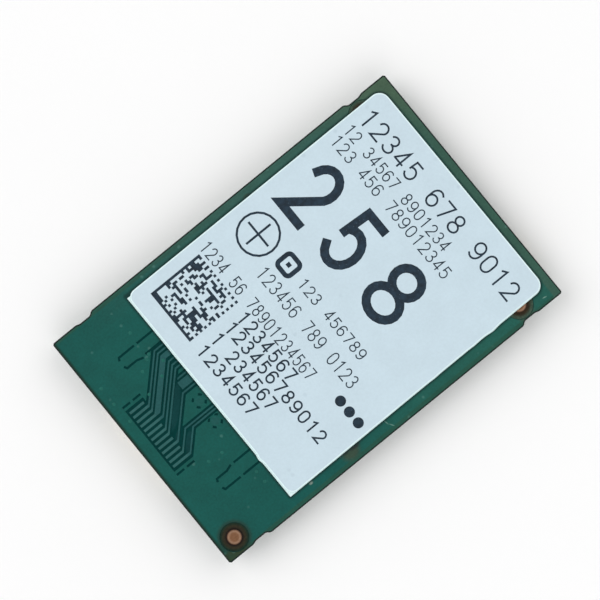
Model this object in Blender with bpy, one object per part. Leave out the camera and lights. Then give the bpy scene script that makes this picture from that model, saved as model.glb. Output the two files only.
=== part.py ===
"""A wireless network card, 30 x 20 mm, lying with its printed label up and its shield lid on the table.

Places along the card are measured from its bare end, and places across it from its lower long edge, as in a
board drawing. The functions along() and across() turn them into x and y about the middle of the board.
"""

import math

import bmesh
import bpy
from mathutils import Matrix, Vector

MM = 0.001

# Laminate
BOARD_LENGTH = 30.0 * MM
BOARD_WIDTH = 20.0 * MM
BOARD_THICKNESS = 0.80 * MM
BOARD_CORNER = 0.12 * MM
COPPER_RELIEF = 0.035 * MM
MASK_THICKNESS = 0.020 * MM

# Break-off tabs, two on each long edge
TAB_FROM_END = 2.85 * MM
TAB_WIDTH = 0.80 * MM
TAB_RAMP = 0.40 * MM
TAB_DEPTH = 0.22 * MM
TAB_RAMP_STEPS = 3
END_TRIM = 0.12 * MM

# Comb of copper lands and the tracks that leave it, measured across from the comb's own middle
LAND_COUNT = 15
LAND_PITCH = 0.40 * MM
LAND_WIDTH = 0.21 * MM
LAND_START = 1.17 * MM
LAND_LENGTH = 1.28 * MM
COMB_OFFSET = 0.28 * MM
ETCH_GAP = 0.125 * MM
TRACK_WIDTH = 0.145 * MM
POWER_WIDTH = 0.42 * MM
TRACK_END = 6.60 * MM
GROUND_PAD_START = 5.09 * MM
GROUND_PAD_WIDTH = 0.62 * MM
DASH_WIDTH = 0.11 * MM
DASH_BREAK = 0.30 * MM

# Each track: its land, where its slant would meet the bare end, the level of its last run, and its width.
# Slants and levels are measured across from the middle of the comb.
TRACKS = (
    (12, -0.56 * MM, 4.72 * MM, TRACK_WIDTH),
    (11, -0.92 * MM, 4.42 * MM, TRACK_WIDTH),
    (10, -1.48 * MM, 4.00 * MM, POWER_WIDTH),
    (9, -2.08 * MM, 3.52 * MM, TRACK_WIDTH),
    (7, -2.45 * MM, 3.17 * MM, TRACK_WIDTH),
    (6, -2.81 * MM, 2.84 * MM, TRACK_WIDTH),
    (4, -3.78 * MM, 1.17 * MM, TRACK_WIDTH),
    (2, -4.38 * MM, -0.85 * MM, TRACK_WIDTH),
    (1, -5.13 * MM, -1.10 * MM, TRACK_WIDTH),
)
LAST_OVER_GROUND_PAD = 5
FIRST_OVER_TONGUE = 6
FIRST_UNDER_TONGUE = 7

# Pad outlines above and below the comb, and the two relieved ground pads
PAD_START = 2.93 * MM
PAD_NEAR = 4.98 * MM
PAD_FAR = 5.91 * MM
PAD_BREAK = 4.52 * MM
PAD_JOG = 0.15 * MM
PAD_JOG_LEAD = 0.45 * MM
PAD_HOOK = 0.20 * MM
RELIEF_SLOT_SPAN = 28
RELIEF_RADIUS = 0.46 * MM
RELIEF_FROM_END = 5.50 * MM
RELIEF_UPPER = 0.02 * MM
RELIEF_LOWER = -1.76 * MM

# Alignment discs
DISC_DIAMETER = 1.08 * MM
DISC_OPENING = 2.04 * MM
DISC_FROM_END = 1.31 * MM
DISC_FROM_EDGE = 1.38 * MM
FAR_DISC_FROM_END = 2.92 * MM

# Film and label
FILM_START = 6.08 * MM
FILM_LOWER_MARGIN = 1.05 * MM
FILM_UPPER_MARGIN = 0.95 * MM
FILM_THICKNESS = 0.05 * MM
LABEL_START = 6.20 * MM
LABEL_END_MARGIN = 0.72 * MM
LABEL_LOWER_MARGIN = 1.09 * MM
LABEL_UPPER_MARGIN = 0.78 * MM
LABEL_THICKNESS = 0.09 * MM
LABEL_CORNER = 1.00 * MM
LABEL_START_CORNER = 0.65 * MM
ADHESIVE_LINE = 0.01 * MM

# Board-to-board connector under the comb
CONNECTOR_WIDTH = 2.60 * MM
CONNECTOR_HEIGHT = 0.95 * MM
CONNECTOR_END_WALL = 0.55 * MM
CONNECTOR_SIDE_WALL = 0.34 * MM
CONNECTOR_FLOOR = 0.25 * MM
CONNECTOR_PLUG_GAP = 0.46 * MM
CONNECTOR_ISLAND_DROP = 0.22 * MM
CONNECTOR_END_ROOM = 0.55 * MM
CONNECTOR_CHAMFER = 0.10 * MM
CONTACT_WIDTH = 0.15 * MM
CONTACT_SHEET = 0.08 * MM
CONTACT_FOOT = 0.28 * MM
CONTACT_RISE = 0.62 * MM
CONTACT_HOOK = 0.13 * MM
CONTACT_TIP = 0.08 * MM
SLOT_CLEARANCE = 0.02 * MM
NAIL_WIDTH = 1.40 * MM
NAIL_HEIGHT = 0.57 * MM
NAIL_FOOT = 0.30 * MM
NAIL_SHEET = 0.12 * MM

# Antenna receptacle at the far end
RECEPTACLE_BASE = 2.60 * MM
RECEPTACLE_BASE_HEIGHT = 0.35 * MM
RECEPTACLE_CHAMFER = 0.43 * MM
RECEPTACLE_DIAMETER = 2.00 * MM
RECEPTACLE_WALL = 0.16 * MM
RECEPTACLE_HEIGHT = 1.20 * MM
RECEPTACLE_GROOVE = 0.07 * MM
RECEPTACLE_TAB_WIDTH = 1.60 * MM
RECEPTACLE_TAB_REACH = 0.28 * MM
RECEPTACLE_TAB_SHEET = 0.12 * MM
RECEPTACLE_PIN = 0.50 * MM
RECEPTACLE_PIN_DROP = 0.05 * MM
RECEPTACLE_MARGIN = 0.60 * MM
RECEPTACLE_FROM_EDGE = 4.20 * MM

# Shield frame and lid
SHIELD_START = 6.20 * MM
SHIELD_SIDE_MARGIN = 1.50 * MM
SHIELD_SHEET = 0.20 * MM
SHIELD_HEIGHT = 1.25 * MM
SHIELD_CORNER = 0.60 * MM
SHEET_BEND = 0.12 * MM
FLANGE_WIDTH = 0.80 * MM
BRIDGE_WIDTH = 1.60 * MM
FOOT_PITCH = 2.60 * MM
FOOT_NOTCH_WIDTH = 0.70 * MM
FOOT_NOTCH_HEIGHT = 0.22 * MM
LID_SHEET = 0.15 * MM
LID_SKIRT = 0.80 * MM
LID_FIT = 0.03 * MM
LID_SLIT = 0.25 * MM
VENT_DIAMETER = 0.80 * MM
VENT_PITCH = 3.60 * MM
VENTS_ALONG = 4
VENTS_ACROSS = 3
DIMPLE_DIAMETER = 0.36 * MM
DIMPLE_FROM_RIM = 0.29 * MM
DIMPLE_DEPTH = 0.08 * MM
DIMPLE_PITCH = 5.20 * MM
SOLDER_LINE = 0.02 * MM

# Chips and other parts: length along the card, width across it
WIRELESS_CHIP_SIDE = 7.00 * MM
WIRELESS_CHIP_HEIGHT = 0.80 * MM
MEMORY_CHIP_LENGTH = 3.00 * MM
MEMORY_CHIP_WIDTH = 4.90 * MM
MEMORY_CHIP_HEIGHT = 0.75 * MM
FRONT_END_CHIP_SIDE = 3.00 * MM
FRONT_END_CHIP_HEIGHT = 0.60 * MM
CRYSTAL_LENGTH = 2.00 * MM
CRYSTAL_WIDTH = 2.50 * MM
CRYSTAL_HEIGHT = 0.45 * MM
CRYSTAL_LID_SHEET = 0.10 * MM
CRYSTAL_LID_INSET = 0.18 * MM
INDUCTOR_LENGTH = 2.00 * MM
INDUCTOR_WIDTH = 2.50 * MM
INDUCTOR_HEIGHT = 0.95 * MM
INDUCTOR_BEVEL = 0.10 * MM
FILTER_LENGTH = 1.25 * MM
FILTER_WIDTH = 2.00 * MM
FILTER_HEIGHT = 0.85 * MM
TERMINAL_PART_LENGTH = 1.00 * MM
TERMINAL_PART_WIDTH = 0.50 * MM
CAPACITOR_HEIGHT = 0.50 * MM
RESISTOR_HEIGHT = 0.35 * MM
TERMINAL_LENGTH = 0.25 * MM
TERMINAL_PROUD = 0.02 * MM
PART_SPACING = 0.80 * MM
CHIP_BEVEL = 0.05 * MM
PIN_MARK_DIAMETER = 0.60 * MM
PIN_MARK_DEPTH = 0.05 * MM

ROUND_STEPS = 32
SMALL_ROUND_STEPS = 16
CORNER_STEPS = 4
CUT_OVER = 0.10 * MM
LEVEL_SLACK = 0.001 * MM

# Levels, from the table up to the label's face
SHIELD_TOP_Z = LID_SHEET + SOLDER_LINE
BOARD_UNDER_Z = SHIELD_TOP_Z + SHIELD_HEIGHT + SOLDER_LINE
BOARD_TOP_Z = BOARD_UNDER_Z + BOARD_THICKNESS
FILM_Z = BOARD_TOP_Z + ADHESIVE_LINE
LABEL_Z = FILM_Z + FILM_THICKNESS + ADHESIVE_LINE
PART_Z = BOARD_UNDER_Z - SOLDER_LINE

COMB_ACROSS = BOARD_WIDTH / 2 + COMB_OFFSET
COMB_MIDDLE = LAND_START + LAND_LENGTH / 2
SHIELD_END = BOARD_LENGTH - RECEPTACLE_BASE - 2 * RECEPTACLE_MARGIN
SHIELD_MIDDLE = (SHIELD_START + SHIELD_END) / 2
LABEL_END = BOARD_LENGTH - LABEL_END_MARGIN
RECEPTACLE_ALONG = BOARD_LENGTH - RECEPTACLE_MARGIN - RECEPTACLE_BASE / 2
DIAGONAL = math.sqrt(2)


def along(distance):
    return distance - BOARD_LENGTH / 2


def across(distance):
    return distance - BOARD_WIDTH / 2


def place(points):
    """Board drawing points turned into x, y."""
    return [(along(a), across(c)) for a, c in points]


def clear_scene():
    for old in list(bpy.data.objects):
        bpy.data.objects.remove(old)


def make_material(name, colour, roughness, metallic):
    material = bpy.data.materials.new(name)
    material.use_nodes = True
    shader = material.node_tree.nodes["Principled BSDF"]
    shader.inputs["Base Color"].default_value = (*colour, 1.0)
    shader.inputs["Roughness"].default_value = roughness
    shader.inputs["Metallic"].default_value = metallic
    return material


def add_object(name, shape, material=None):
    """An object from a finished bmesh, with its faces turned outwards."""
    bmesh.ops.recalc_face_normals(shape, faces=shape.faces)
    mesh = bpy.data.meshes.new(name)
    shape.to_mesh(mesh)
    shape.free()
    made = bpy.data.objects.new(name, mesh)
    bpy.context.scene.collection.objects.link(made)
    if material:
        made.data.materials.append(material)
    return made


def shade_round(made, angle=35):
    made.data.shade_smooth()
    made.data.set_sharp_from_angle(angle=math.radians(angle))


def apply_boolean(made, other, operation="DIFFERENCE"):
    """Cuts or joins with a helper object, which stays out of renders."""
    other.hide_render = True
    other.display_type = "WIRE"
    change = made.modifiers.new(other.name, "BOOLEAN")
    change.operation = operation
    change.solver = "EXACT"
    change.object = other


def bevel_edges(made, width, segments=1, angle=40):
    change = made.modifiers.new("Edge bevel", "BEVEL")
    change.width = width
    change.segments = segments
    change.limit_method = "ANGLE"
    change.angle_limit = math.radians(angle)


def extrude(shape, corners, vec):
    """Adds a closed solid to a bmesh: one flat face on a ring of corners, drawn out along a vector."""
    face = shape.faces.new([shape.verts.new(corner) for corner in corners])
    raised = bmesh.ops.extrude_face_region(shape, geom=[face])["geom"]
    moved = [item for item in raised if isinstance(item, bmesh.types.BMVert)]
    bmesh.ops.translate(shape, verts=moved, vec=vec)


def prism(shape, outline, low, high):
    """Adds a closed upright prism on an outline of x, y points to a bmesh."""
    extrude(shape, [(x, y, low) for x, y in outline], (0, 0, high - low))


def prisms(outlines, low, high):
    shape = bmesh.new()
    for outline in outlines:
        prism(shape, outline, low, high)
    return shape


def round_low_edges(shape, level, width, segments, with_corners=False):
    """Bevels a bmesh along its edges at one level, and along the upright ones that meet them if asked."""
    reached = [abs(corner.co.z - level) < LEVEL_SLACK for corner in shape.verts]
    shape.verts.index_update()
    wanted = any if with_corners else all
    edges = [edge for edge in shape.edges if wanted(reached[corner.index] for corner in edge.verts)]
    bmesh.ops.bevel(
        shape,
        geom=edges,
        offset=width,
        offset_type="OFFSET",
        segments=segments,
        profile=0.5,
        affect="EDGES",
        material=-1,
    )


def box(middle_x, middle_y, length, width):
    """The outline of an upright rectangle about a middle point."""
    return rectangle(
        middle_x - length / 2, middle_y - width / 2, middle_x + length / 2, middle_y + width / 2
    )


def rectangle(x0, y0, x1, y1):
    return [(x0, y0), (x1, y0), (x1, y1), (x0, y1)]


def arc(centre, radius, start, end, steps):
    """Points of an arc, from one angle in degrees to another."""
    turns = [math.radians(start + (end - start) * i / steps) for i in range(steps + 1)]
    return [(centre[0] + radius * math.cos(t), centre[1] + radius * math.sin(t)) for t in turns]


def rounded_rectangle(x0, y0, x1, y1, radii):
    """An outline with its own radius at each corner: lower left, lower right, upper right, upper left."""
    corners = [(x0, y0), (x1, y0), (x1, y1), (x0, y1)]
    inwards = [(1, 1), (-1, 1), (-1, -1), (1, -1)]
    outline = []
    for quarter, ((x, y), (sx, sy), radius) in enumerate(zip(corners, inwards, radii)):
        start = 180 + 90 * quarter
        centre = (x + sx * radius, y + sy * radius)
        outline += arc(centre, radius, start, start + 90, CORNER_STEPS) if radius else [(x, y)]
    return outline


def strip(points, widths):
    """The outline of a bent strip: one width for each straight run, with mitred bends."""
    sides = []
    for side in (1, -1):
        lines = []
        for (a, b), width in zip(zip(points, points[1:]), widths):
            run = (Vector(b) - Vector(a)).normalized()
            offset = Vector((-run.y, run.x)) * side * width / 2
            lines.append((Vector(a) + offset, run))
        edge = [lines[0][0]]
        for (p, d), (q, e) in zip(lines, lines[1:]):
            shift = q - p
            edge.append(p + d * (shift.cross(e) / d.cross(e)))
        edge.append(lines[-1][0] + Vector(points[-1]) - Vector(points[-2]))
        sides.append([tuple(point) for point in edge])
    return sides[1] + sides[0][::-1]


def turned(profile, steps, middle, z):
    """A solid of revolution about an upright axis, from a closed profile of radius, height points."""
    shape = bmesh.new()
    corners = [shape.verts.new((radius, 0, height)) for radius, height in profile]
    edges = [shape.edges.new(pair) for pair in zip(corners, corners[1:])]
    on_axis = profile[0][0] == 0
    if not on_axis:
        edges.append(shape.edges.new((corners[-1], corners[0])))
    bmesh.ops.spin(
        shape,
        geom=corners + edges,
        cent=(0, 0, 0),
        axis=(0, 0, 1),
        angle=math.tau,
        steps=steps,
        use_merge=True,
    )
    bmesh.ops.remove_doubles(shape, verts=shape.verts, dist=0.0001 * MM)
    bmesh.ops.translate(shape, verts=shape.verts, vec=(*middle, z))
    return shape


def break_off_edge():
    """A long edge from a board end to its plain run: trimmed at the end, then the scar of the broken tab."""
    low, high = TAB_FROM_END - TAB_WIDTH / 2, TAB_FROM_END + TAB_WIDTH / 2
    edge = [(BOARD_CORNER, END_TRIM)]
    for start, end, start_depth, end_depth in (
        (low - TAB_RAMP, low, END_TRIM, TAB_DEPTH),
        (high, high + TAB_RAMP, TAB_DEPTH, 0.0),
    ):
        for i in range(TAB_RAMP_STEPS + 1):
            share = i / TAB_RAMP_STEPS
            eased = (1 - math.cos(math.pi * share)) / 2
            edge.append((start + (end - start) * share, start_depth + (end_depth - start_depth) * eased))
    return edge


def board_outline():
    edge = break_off_edge()
    corner = (0.0, END_TRIM + BOARD_CORNER)
    lower = [corner] + edge
    lower += [(BOARD_LENGTH - a, c) for a, c in reversed(lower)]
    upper = [(a, BOARD_WIDTH - c) for a, c in reversed(lower)]
    return place(lower + upper)


def land_across(index):
    """The middle of a land of the comb, measured from the lower long edge."""
    return COMB_ACROSS + (index - (LAND_COUNT - 1) / 2) * LAND_PITCH


def track_outline(track):
    """One land with the track that leaves it, slants at 45 degrees and runs straight under the label."""
    index, slant, level, width = track
    start = land_across(index)
    points = [
        (LAND_START, start),
        (start - COMB_ACROSS - slant, start),
        (level - slant, COMB_ACROSS + level),
        (TRACK_END + CUT_OVER, COMB_ACROSS + level),
    ]
    return strip(points, (LAND_WIDTH, width, width))


def loose_land_outline(index):
    middle = land_across(index)
    start, end = LAND_START, LAND_START + LAND_LENGTH
    return rectangle(start, middle - LAND_WIDTH / 2, end, middle + LAND_WIDTH / 2)


def etched_edge(track, side):
    """The gap's far edge beside a track: where its slant would meet the bare end, and its last run's level."""
    _, slant, level, width = track
    reach = width / 2 + ETCH_GAP
    return COMB_ACROSS + slant + side * reach * DIAGONAL, COMB_ACROSS + level + side * reach


def window_outline():
    """The bare laminate round the comb and its tracks, with a tongue of ground copper between two tracks."""
    comb_start = LAND_START - ETCH_GAP
    comb_end = LAND_START + LAND_LENGTH + ETCH_GAP
    comb_low = land_across(0) + LAND_WIDTH / 2
    comb_high = land_across(LAND_COUNT - 1) - LAND_WIDTH / 2
    top_slant, _ = etched_edge(TRACKS[0], 1)
    over_slant, over_level = etched_edge(TRACKS[FIRST_OVER_TONGUE], -1)
    _, under_level = etched_edge(TRACKS[FIRST_UNDER_TONGUE], 1)
    low_slant, low_level = etched_edge(TRACKS[-1], -1)
    dash_low = COMB_ACROSS + PAD_NEAR - PAD_JOG
    dash_high = dash_low + DASH_WIDTH + ETCH_GAP / 2
    dash_start = PAD_BREAK + DASH_BREAK / 2
    return [
        (comb_start, comb_low),
        (comb_low - low_slant, comb_low),
        (low_level - low_slant, low_level),
        (TRACK_END, low_level),
        (TRACK_END, under_level),
        (under_level - over_slant, under_level),
        (over_level - over_slant, over_level),
        (TRACK_END, over_level),
        (TRACK_END, dash_high),
        (dash_start, dash_high),
        (dash_start, dash_low + ETCH_GAP / 2),
        (dash_low + ETCH_GAP / 2 - top_slant, dash_low + ETCH_GAP / 2),
        (comb_end, comb_end + top_slant),
        (comb_end, comb_high),
        (comb_start, comb_high),
    ]


def ground_islands():
    """Copper that is left between the sixth and seventh tracks: a square pad, a track and a sliver of ground."""
    slant, level = etched_edge(TRACKS[LAST_OVER_GROUND_PAD], -1)
    _, pad_low = etched_edge(TRACKS[FIRST_OVER_TONGUE], 1)
    pad_high = pad_low + GROUND_PAD_WIDTH
    strip_low = pad_high + ETCH_GAP
    strip_high = strip_low + TRACK_WIDTH
    sliver_low = strip_high + ETCH_GAP
    end = TRACK_END + CUT_OVER
    return [
        rectangle(GROUND_PAD_START, pad_low, end, pad_high),
        [(strip_low - slant, strip_low), (end, strip_low), (end, strip_high), (strip_high - slant, strip_high)],
        [(sliver_low - slant, sliver_low), (end, sliver_low), (end, level), (level - slant, level)],
    ]


def mirrored(outline):
    """The same outline on the other side of the comb's middle."""
    return [(a, 2 * COMB_ACROSS - c) for a, c in reversed(outline)]


def pad_dashes():
    """The broken outlines of the long pad above the comb and of its twin below it."""
    far, near = COMB_ACROSS + PAD_FAR, COMB_ACROSS + PAD_NEAR
    before, after = PAD_BREAK - DASH_BREAK / 2, PAD_BREAK + DASH_BREAK / 2
    turn = PAD_START + PAD_HOOK / 2
    far_left = strip([(PAD_START, far - PAD_HOOK), (turn, far), (before, far)], [DASH_WIDTH] * 2)
    far_right = strip([(after, far), (TRACK_END, far)], [DASH_WIDTH])
    jog = [(before - PAD_JOG_LEAD, near), (before, near - PAD_JOG)]
    near_left = strip([(PAD_START, near + PAD_HOOK), (turn, near), *jog], [DASH_WIDTH] * 3)
    near_right = strip([(after, near - PAD_JOG), (TRACK_END, near - PAD_JOG)], [DASH_WIDTH])
    upper = [far_left, far_right, near_left]
    return upper + [mirrored(outline) for outline in (*upper, near_right)]


def comb_end_dashes():
    """The gaps outside the first and last lands, each broken where the land joins the ground."""
    start, end = LAND_START - ETCH_GAP, LAND_START + LAND_LENGTH + ETCH_GAP
    joint = (start + end) / 2
    middle = land_across(LAND_COUNT - 1) + LAND_PITCH / 2
    half = DASH_WIDTH / 2
    upper = [
        rectangle(start, middle - half, joint - DASH_BREAK / 2, middle + half),
        rectangle(joint + DASH_BREAK / 2, middle - half, end, middle + half),
    ]
    return upper + [mirrored(outline) for outline in upper]


def relief_dots():
    """The four short slots round each of the two relieved ground pads."""
    dots = []
    for level in (RELIEF_UPPER, RELIEF_LOWER):
        centre = (RELIEF_FROM_END, COMB_ACROSS + level)
        inner, outer = RELIEF_RADIUS - DASH_WIDTH / 2, RELIEF_RADIUS + DASH_WIDTH / 2
        for diagonal in (45, 135, 225, 315):
            start, end = diagonal - RELIEF_SLOT_SPAN / 2, diagonal + RELIEF_SLOT_SPAN / 2
            dots.append(arc(centre, outer, start, end, 2) + arc(centre, inner, end, start, 2))
    return dots


def disc_recess(middle):
    """The mask opening round an alignment disc, etched down to the laminate beside the copper."""
    opening, disc = DISC_OPENING / 2, DISC_DIAMETER / 2
    profile = [
        (0, CUT_OVER),
        (opening, CUT_OVER),
        (opening, -MASK_THICKNESS - COPPER_RELIEF),
        (disc, -MASK_THICKNESS - COPPER_RELIEF),
        (disc, -MASK_THICKNESS),
        (0, -MASK_THICKNESS),
    ]
    return turned(profile, ROUND_STEPS, middle, BOARD_TOP_Z)


def build_board(material):
    """The laminate with its etched copper relief, as one piece."""
    board = add_object("circuit_board", prisms([board_outline()], BOARD_UNDER_Z, BOARD_TOP_Z), material)
    floor = BOARD_TOP_Z - COPPER_RELIEF
    top = BOARD_TOP_Z + CUT_OVER

    tracked = [track[0] for track in TRACKS]
    loose = [index for index in range(1, LAND_COUNT - 1) if index not in tracked]
    islands = [track_outline(track) for track in TRACKS]
    islands += [loose_land_outline(index) for index in loose]
    islands += ground_islands()
    kept = prisms([place(outline) for outline in islands], floor - CUT_OVER, top + CUT_OVER)
    window = add_object("etched_window", prisms([place(window_outline())], floor, top))
    apply_boolean(window, add_object("kept_copper", kept))
    apply_boolean(board, window)

    lines = [place(outline) for outline in pad_dashes() + comb_end_dashes() + relief_dots()]
    apply_boolean(board, add_object("etched_lines", prisms(lines, floor, top)))

    far_along = BOARD_LENGTH - FAR_DISC_FROM_END
    for name, a, c in (
        ("near_disc_recess", DISC_FROM_END, DISC_FROM_EDGE),
        ("lower_disc_recess", far_along, DISC_FROM_EDGE),
        ("upper_disc_recess", far_along, BOARD_WIDTH - DISC_FROM_EDGE),
    ):
        apply_boolean(board, add_object(name, disc_recess((along(a), across(c)))))


def build_film(material):
    """The clear film under the label, square at the bare end."""
    outline = rounded_rectangle(
        along(FILM_START),
        across(FILM_LOWER_MARGIN),
        along(LABEL_END - ADHESIVE_LINE),
        across(BOARD_WIDTH - FILM_UPPER_MARGIN),
        (0, LABEL_CORNER, LABEL_CORNER, 0),
    )
    add_object("label_film", prisms([outline], FILM_Z, FILM_Z + FILM_THICKNESS), material)


def build_label(material):
    outline = rounded_rectangle(
        along(LABEL_START),
        across(LABEL_LOWER_MARGIN),
        along(LABEL_END),
        across(BOARD_WIDTH - LABEL_UPPER_MARGIN),
        (LABEL_START_CORNER, LABEL_CORNER, LABEL_CORNER, LABEL_START_CORNER),
    )
    add_object("label", prisms([outline], LABEL_Z, LABEL_Z + LABEL_THICKNESS), material)


def shield_outline(inset):
    """The shield frame's outline, made smaller all round by an inset, or larger by a negative one."""
    radius = SHIELD_CORNER - inset
    return rounded_rectangle(
        along(SHIELD_START) + inset,
        across(SHIELD_SIDE_MARGIN) + inset,
        along(SHIELD_END) - inset,
        across(BOARD_WIDTH - SHIELD_SIDE_MARGIN) - inset,
        (radius,) * 4,
    )


def spread(middle, room, pitch):
    """Evenly spaced places about a middle, as many as a room takes."""
    count = max(1, int(room / pitch))
    return [middle + (i - (count - 1) / 2) * pitch for i in range(count)]


def wall_places(pitch):
    """Places along the outer faces of the shield's four walls: x, y, and the way inwards."""
    x0, x1 = along(SHIELD_START), along(SHIELD_END)
    y0, y1 = across(SHIELD_SIDE_MARGIN), across(BOARD_WIDTH - SHIELD_SIDE_MARGIN)
    corner = 2 * SHIELD_CORNER
    found = []
    for x in spread((x0 + x1) / 2, x1 - x0 - corner, pitch):
        found += [(x, y0, Vector((0, 1, 0))), (x, y1, Vector((0, -1, 0)))]
    for y in spread((y0 + y1) / 2, y1 - y0 - corner, pitch):
        found += [(x0, y, Vector((1, 0, 0))), (x1, y, Vector((-1, 0, 0)))]
    return found


def add_wall_cone(shape, spot, start, length, wide, narrow):
    """A level cone at the dimples' height, from a distance outside a wall's outer face, pointing inwards."""
    x, y, inward = spot
    level = LID_SHEET + LID_SKIRT - DIMPLE_FROM_RIM
    middle = Vector((x, y, level)) + inward * (length / 2 - start)
    turn = Vector((0, 0, 1)).rotation_difference(inward).to_matrix().to_4x4()
    bmesh.ops.create_cone(
        shape,
        cap_ends=True,
        segments=SMALL_ROUND_STEPS,
        radius1=wide,
        radius2=narrow,
        depth=length,
        matrix=Matrix.Translation(middle) @ turn,
    )


def build_shield_frame(material):
    """The fence soldered round the chips: walls, a flange with two windows, and a bridge to lift it by."""
    foot = SHIELD_TOP_Z + SHIELD_HEIGHT
    folded = prisms([shield_outline(0)], SHIELD_TOP_Z, foot)
    round_low_edges(folded, SHIELD_TOP_Z, SHEET_BEND, 2)
    frame = add_object("shield_frame", folded, material)
    inside = prisms([shield_outline(SHIELD_SHEET)], SHIELD_TOP_Z + SHIELD_SHEET, foot + CUT_OVER)
    apply_boolean(frame, add_object("frame_inside", inside))

    x0 = along(SHIELD_START) + FLANGE_WIDTH
    x1 = along(SHIELD_END) - FLANGE_WIDTH
    y0 = across(SHIELD_SIDE_MARGIN) + FLANGE_WIDTH
    y1 = across(BOARD_WIDTH - SHIELD_SIDE_MARGIN) - FLANGE_WIDTH
    middle = along(SHIELD_MIDDLE)
    radii = (SHIELD_CORNER,) * 4
    windows = prisms(
        [
            rounded_rectangle(x0, y0, middle - BRIDGE_WIDTH / 2, y1, radii),
            rounded_rectangle(middle + BRIDGE_WIDTH / 2, y0, x1, y1, radii),
        ],
        SHIELD_TOP_Z - CUT_OVER,
        SHIELD_TOP_Z + SHIELD_SHEET + CUT_OVER,
    )
    apply_boolean(frame, add_object("frame_windows", windows))

    through = 2 * (SHIELD_SHEET + CUT_OVER)
    notches = [
        box(x, y, through, FOOT_NOTCH_WIDTH) if inward.x else box(x, y, FOOT_NOTCH_WIDTH, through)
        for x, y, inward in wall_places(FOOT_PITCH)
    ]
    apply_boolean(
        frame, add_object("frame_feet", prisms(notches, foot - FOOT_NOTCH_HEIGHT, foot + CUT_OVER))
    )

    holes = bmesh.new()
    for spot in wall_places(DIMPLE_PITCH):
        radius = DIMPLE_DIAMETER / 2 + LID_FIT
        add_wall_cone(holes, spot, through / 2, through, radius, radius)
    apply_boolean(frame, add_object("frame_holes", holes))


def add_dimple(dents, bumps, spot):
    """A dimple pressed into the lid's skirt: its dent outside, and the bump that it raises inside."""
    radius = DIMPLE_DIAMETER / 2
    narrow = radius / 2
    wide = radius + (radius - narrow) * CUT_OVER / DIMPLE_DEPTH
    add_wall_cone(dents, spot, LID_FIT + LID_SHEET + CUT_OVER, CUT_OVER + DIMPLE_DEPTH, wide, narrow)
    under_dent = LID_FIT + (LID_SHEET - DIMPLE_DEPTH) / 2
    add_wall_cone(bumps, spot, under_dent, under_dent + DIMPLE_DEPTH, radius, narrow)


def build_shield_lid(material):
    """The lid snapped over the fence: a plate with vents and a skirt with slit corners and dimples."""
    reach = LID_FIT + LID_SHEET
    folded = prisms([shield_outline(-reach)], 0, LID_SHEET + LID_SKIRT)
    round_low_edges(folded, 0, SHEET_BEND, 2)
    lid = add_object("shield_lid", folded, material)
    inside = prisms([shield_outline(-LID_FIT)], LID_SHEET, LID_SHEET + LID_SKIRT + CUT_OVER)
    apply_boolean(lid, add_object("lid_inside", inside))

    slits = []
    for x, out_x in ((along(SHIELD_START), -1), (along(SHIELD_END), 1)):
        for y, out_y in ((across(SHIELD_SIDE_MARGIN), -1), (across(BOARD_WIDTH - SHIELD_SIDE_MARGIN), 1)):
            outward = Vector((out_x, out_y)).normalized()
            corner = Vector((x, y)) - outward * SHIELD_CORNER * (DIAGONAL - 1)
            ends = (corner - outward * LID_SHEET, corner + outward * (reach + CUT_OVER))
            slits.append(strip(ends, [LID_SLIT]))
    skirt_low = LID_SHEET + LID_FIT
    apply_boolean(lid, add_object("lid_slits", prisms(slits, skirt_low, LID_SHEET + LID_SKIRT + CUT_OVER)))

    vents = bmesh.new()
    for i in range(VENTS_ALONG):
        for j in range(VENTS_ACROSS):
            x = along(SHIELD_MIDDLE) + (i - (VENTS_ALONG - 1) / 2) * VENT_PITCH
            y = (j - (VENTS_ACROSS - 1) / 2) * VENT_PITCH
            outline = arc((x, y), VENT_DIAMETER / 2, 0, 360, SMALL_ROUND_STEPS)[:-1]
            prism(vents, outline, -CUT_OVER, LID_SHEET + CUT_OVER)
    apply_boolean(lid, add_object("lid_vents", vents))

    dents = bmesh.new()
    bumps = bmesh.new()
    for spot in wall_places(DIMPLE_PITCH):
        add_dimple(dents, bumps, spot)
    apply_boolean(lid, add_object("lid_dents", dents))
    apply_boolean(lid, add_object("lid_bumps", bumps), "UNION")


def connector_length():
    rows = (LAND_COUNT - 1) * LAND_PITCH
    return rows + 2 * (CONNECTOR_END_ROOM + CONNECTOR_END_WALL)


def connector_wall_inside():
    return CONNECTOR_WIDTH / 2 - CONNECTOR_SIDE_WALL


def contact_profile():
    """The bent strip of one contact, seen from the end of the connector: distance from its middle, level."""
    low = PART_Z - CONTACT_SHEET / 2
    tip = low - CONTACT_RISE
    inner = connector_wall_inside() - CONTACT_SHEET / 2 + SLOT_CLEARANCE / 2
    points = [
        (CONNECTOR_WIDTH / 2 + CONTACT_FOOT, low),
        (inner + CONTACT_SHEET, low),
        (inner, low - CONTACT_SHEET),
        (inner, tip + CONTACT_HOOK),
        (inner - CONTACT_HOOK, tip),
        (inner - CONTACT_HOOK - CONTACT_TIP, tip + CONTACT_TIP),
    ]
    return strip(points, [CONTACT_SHEET] * (len(points) - 1))


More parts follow.
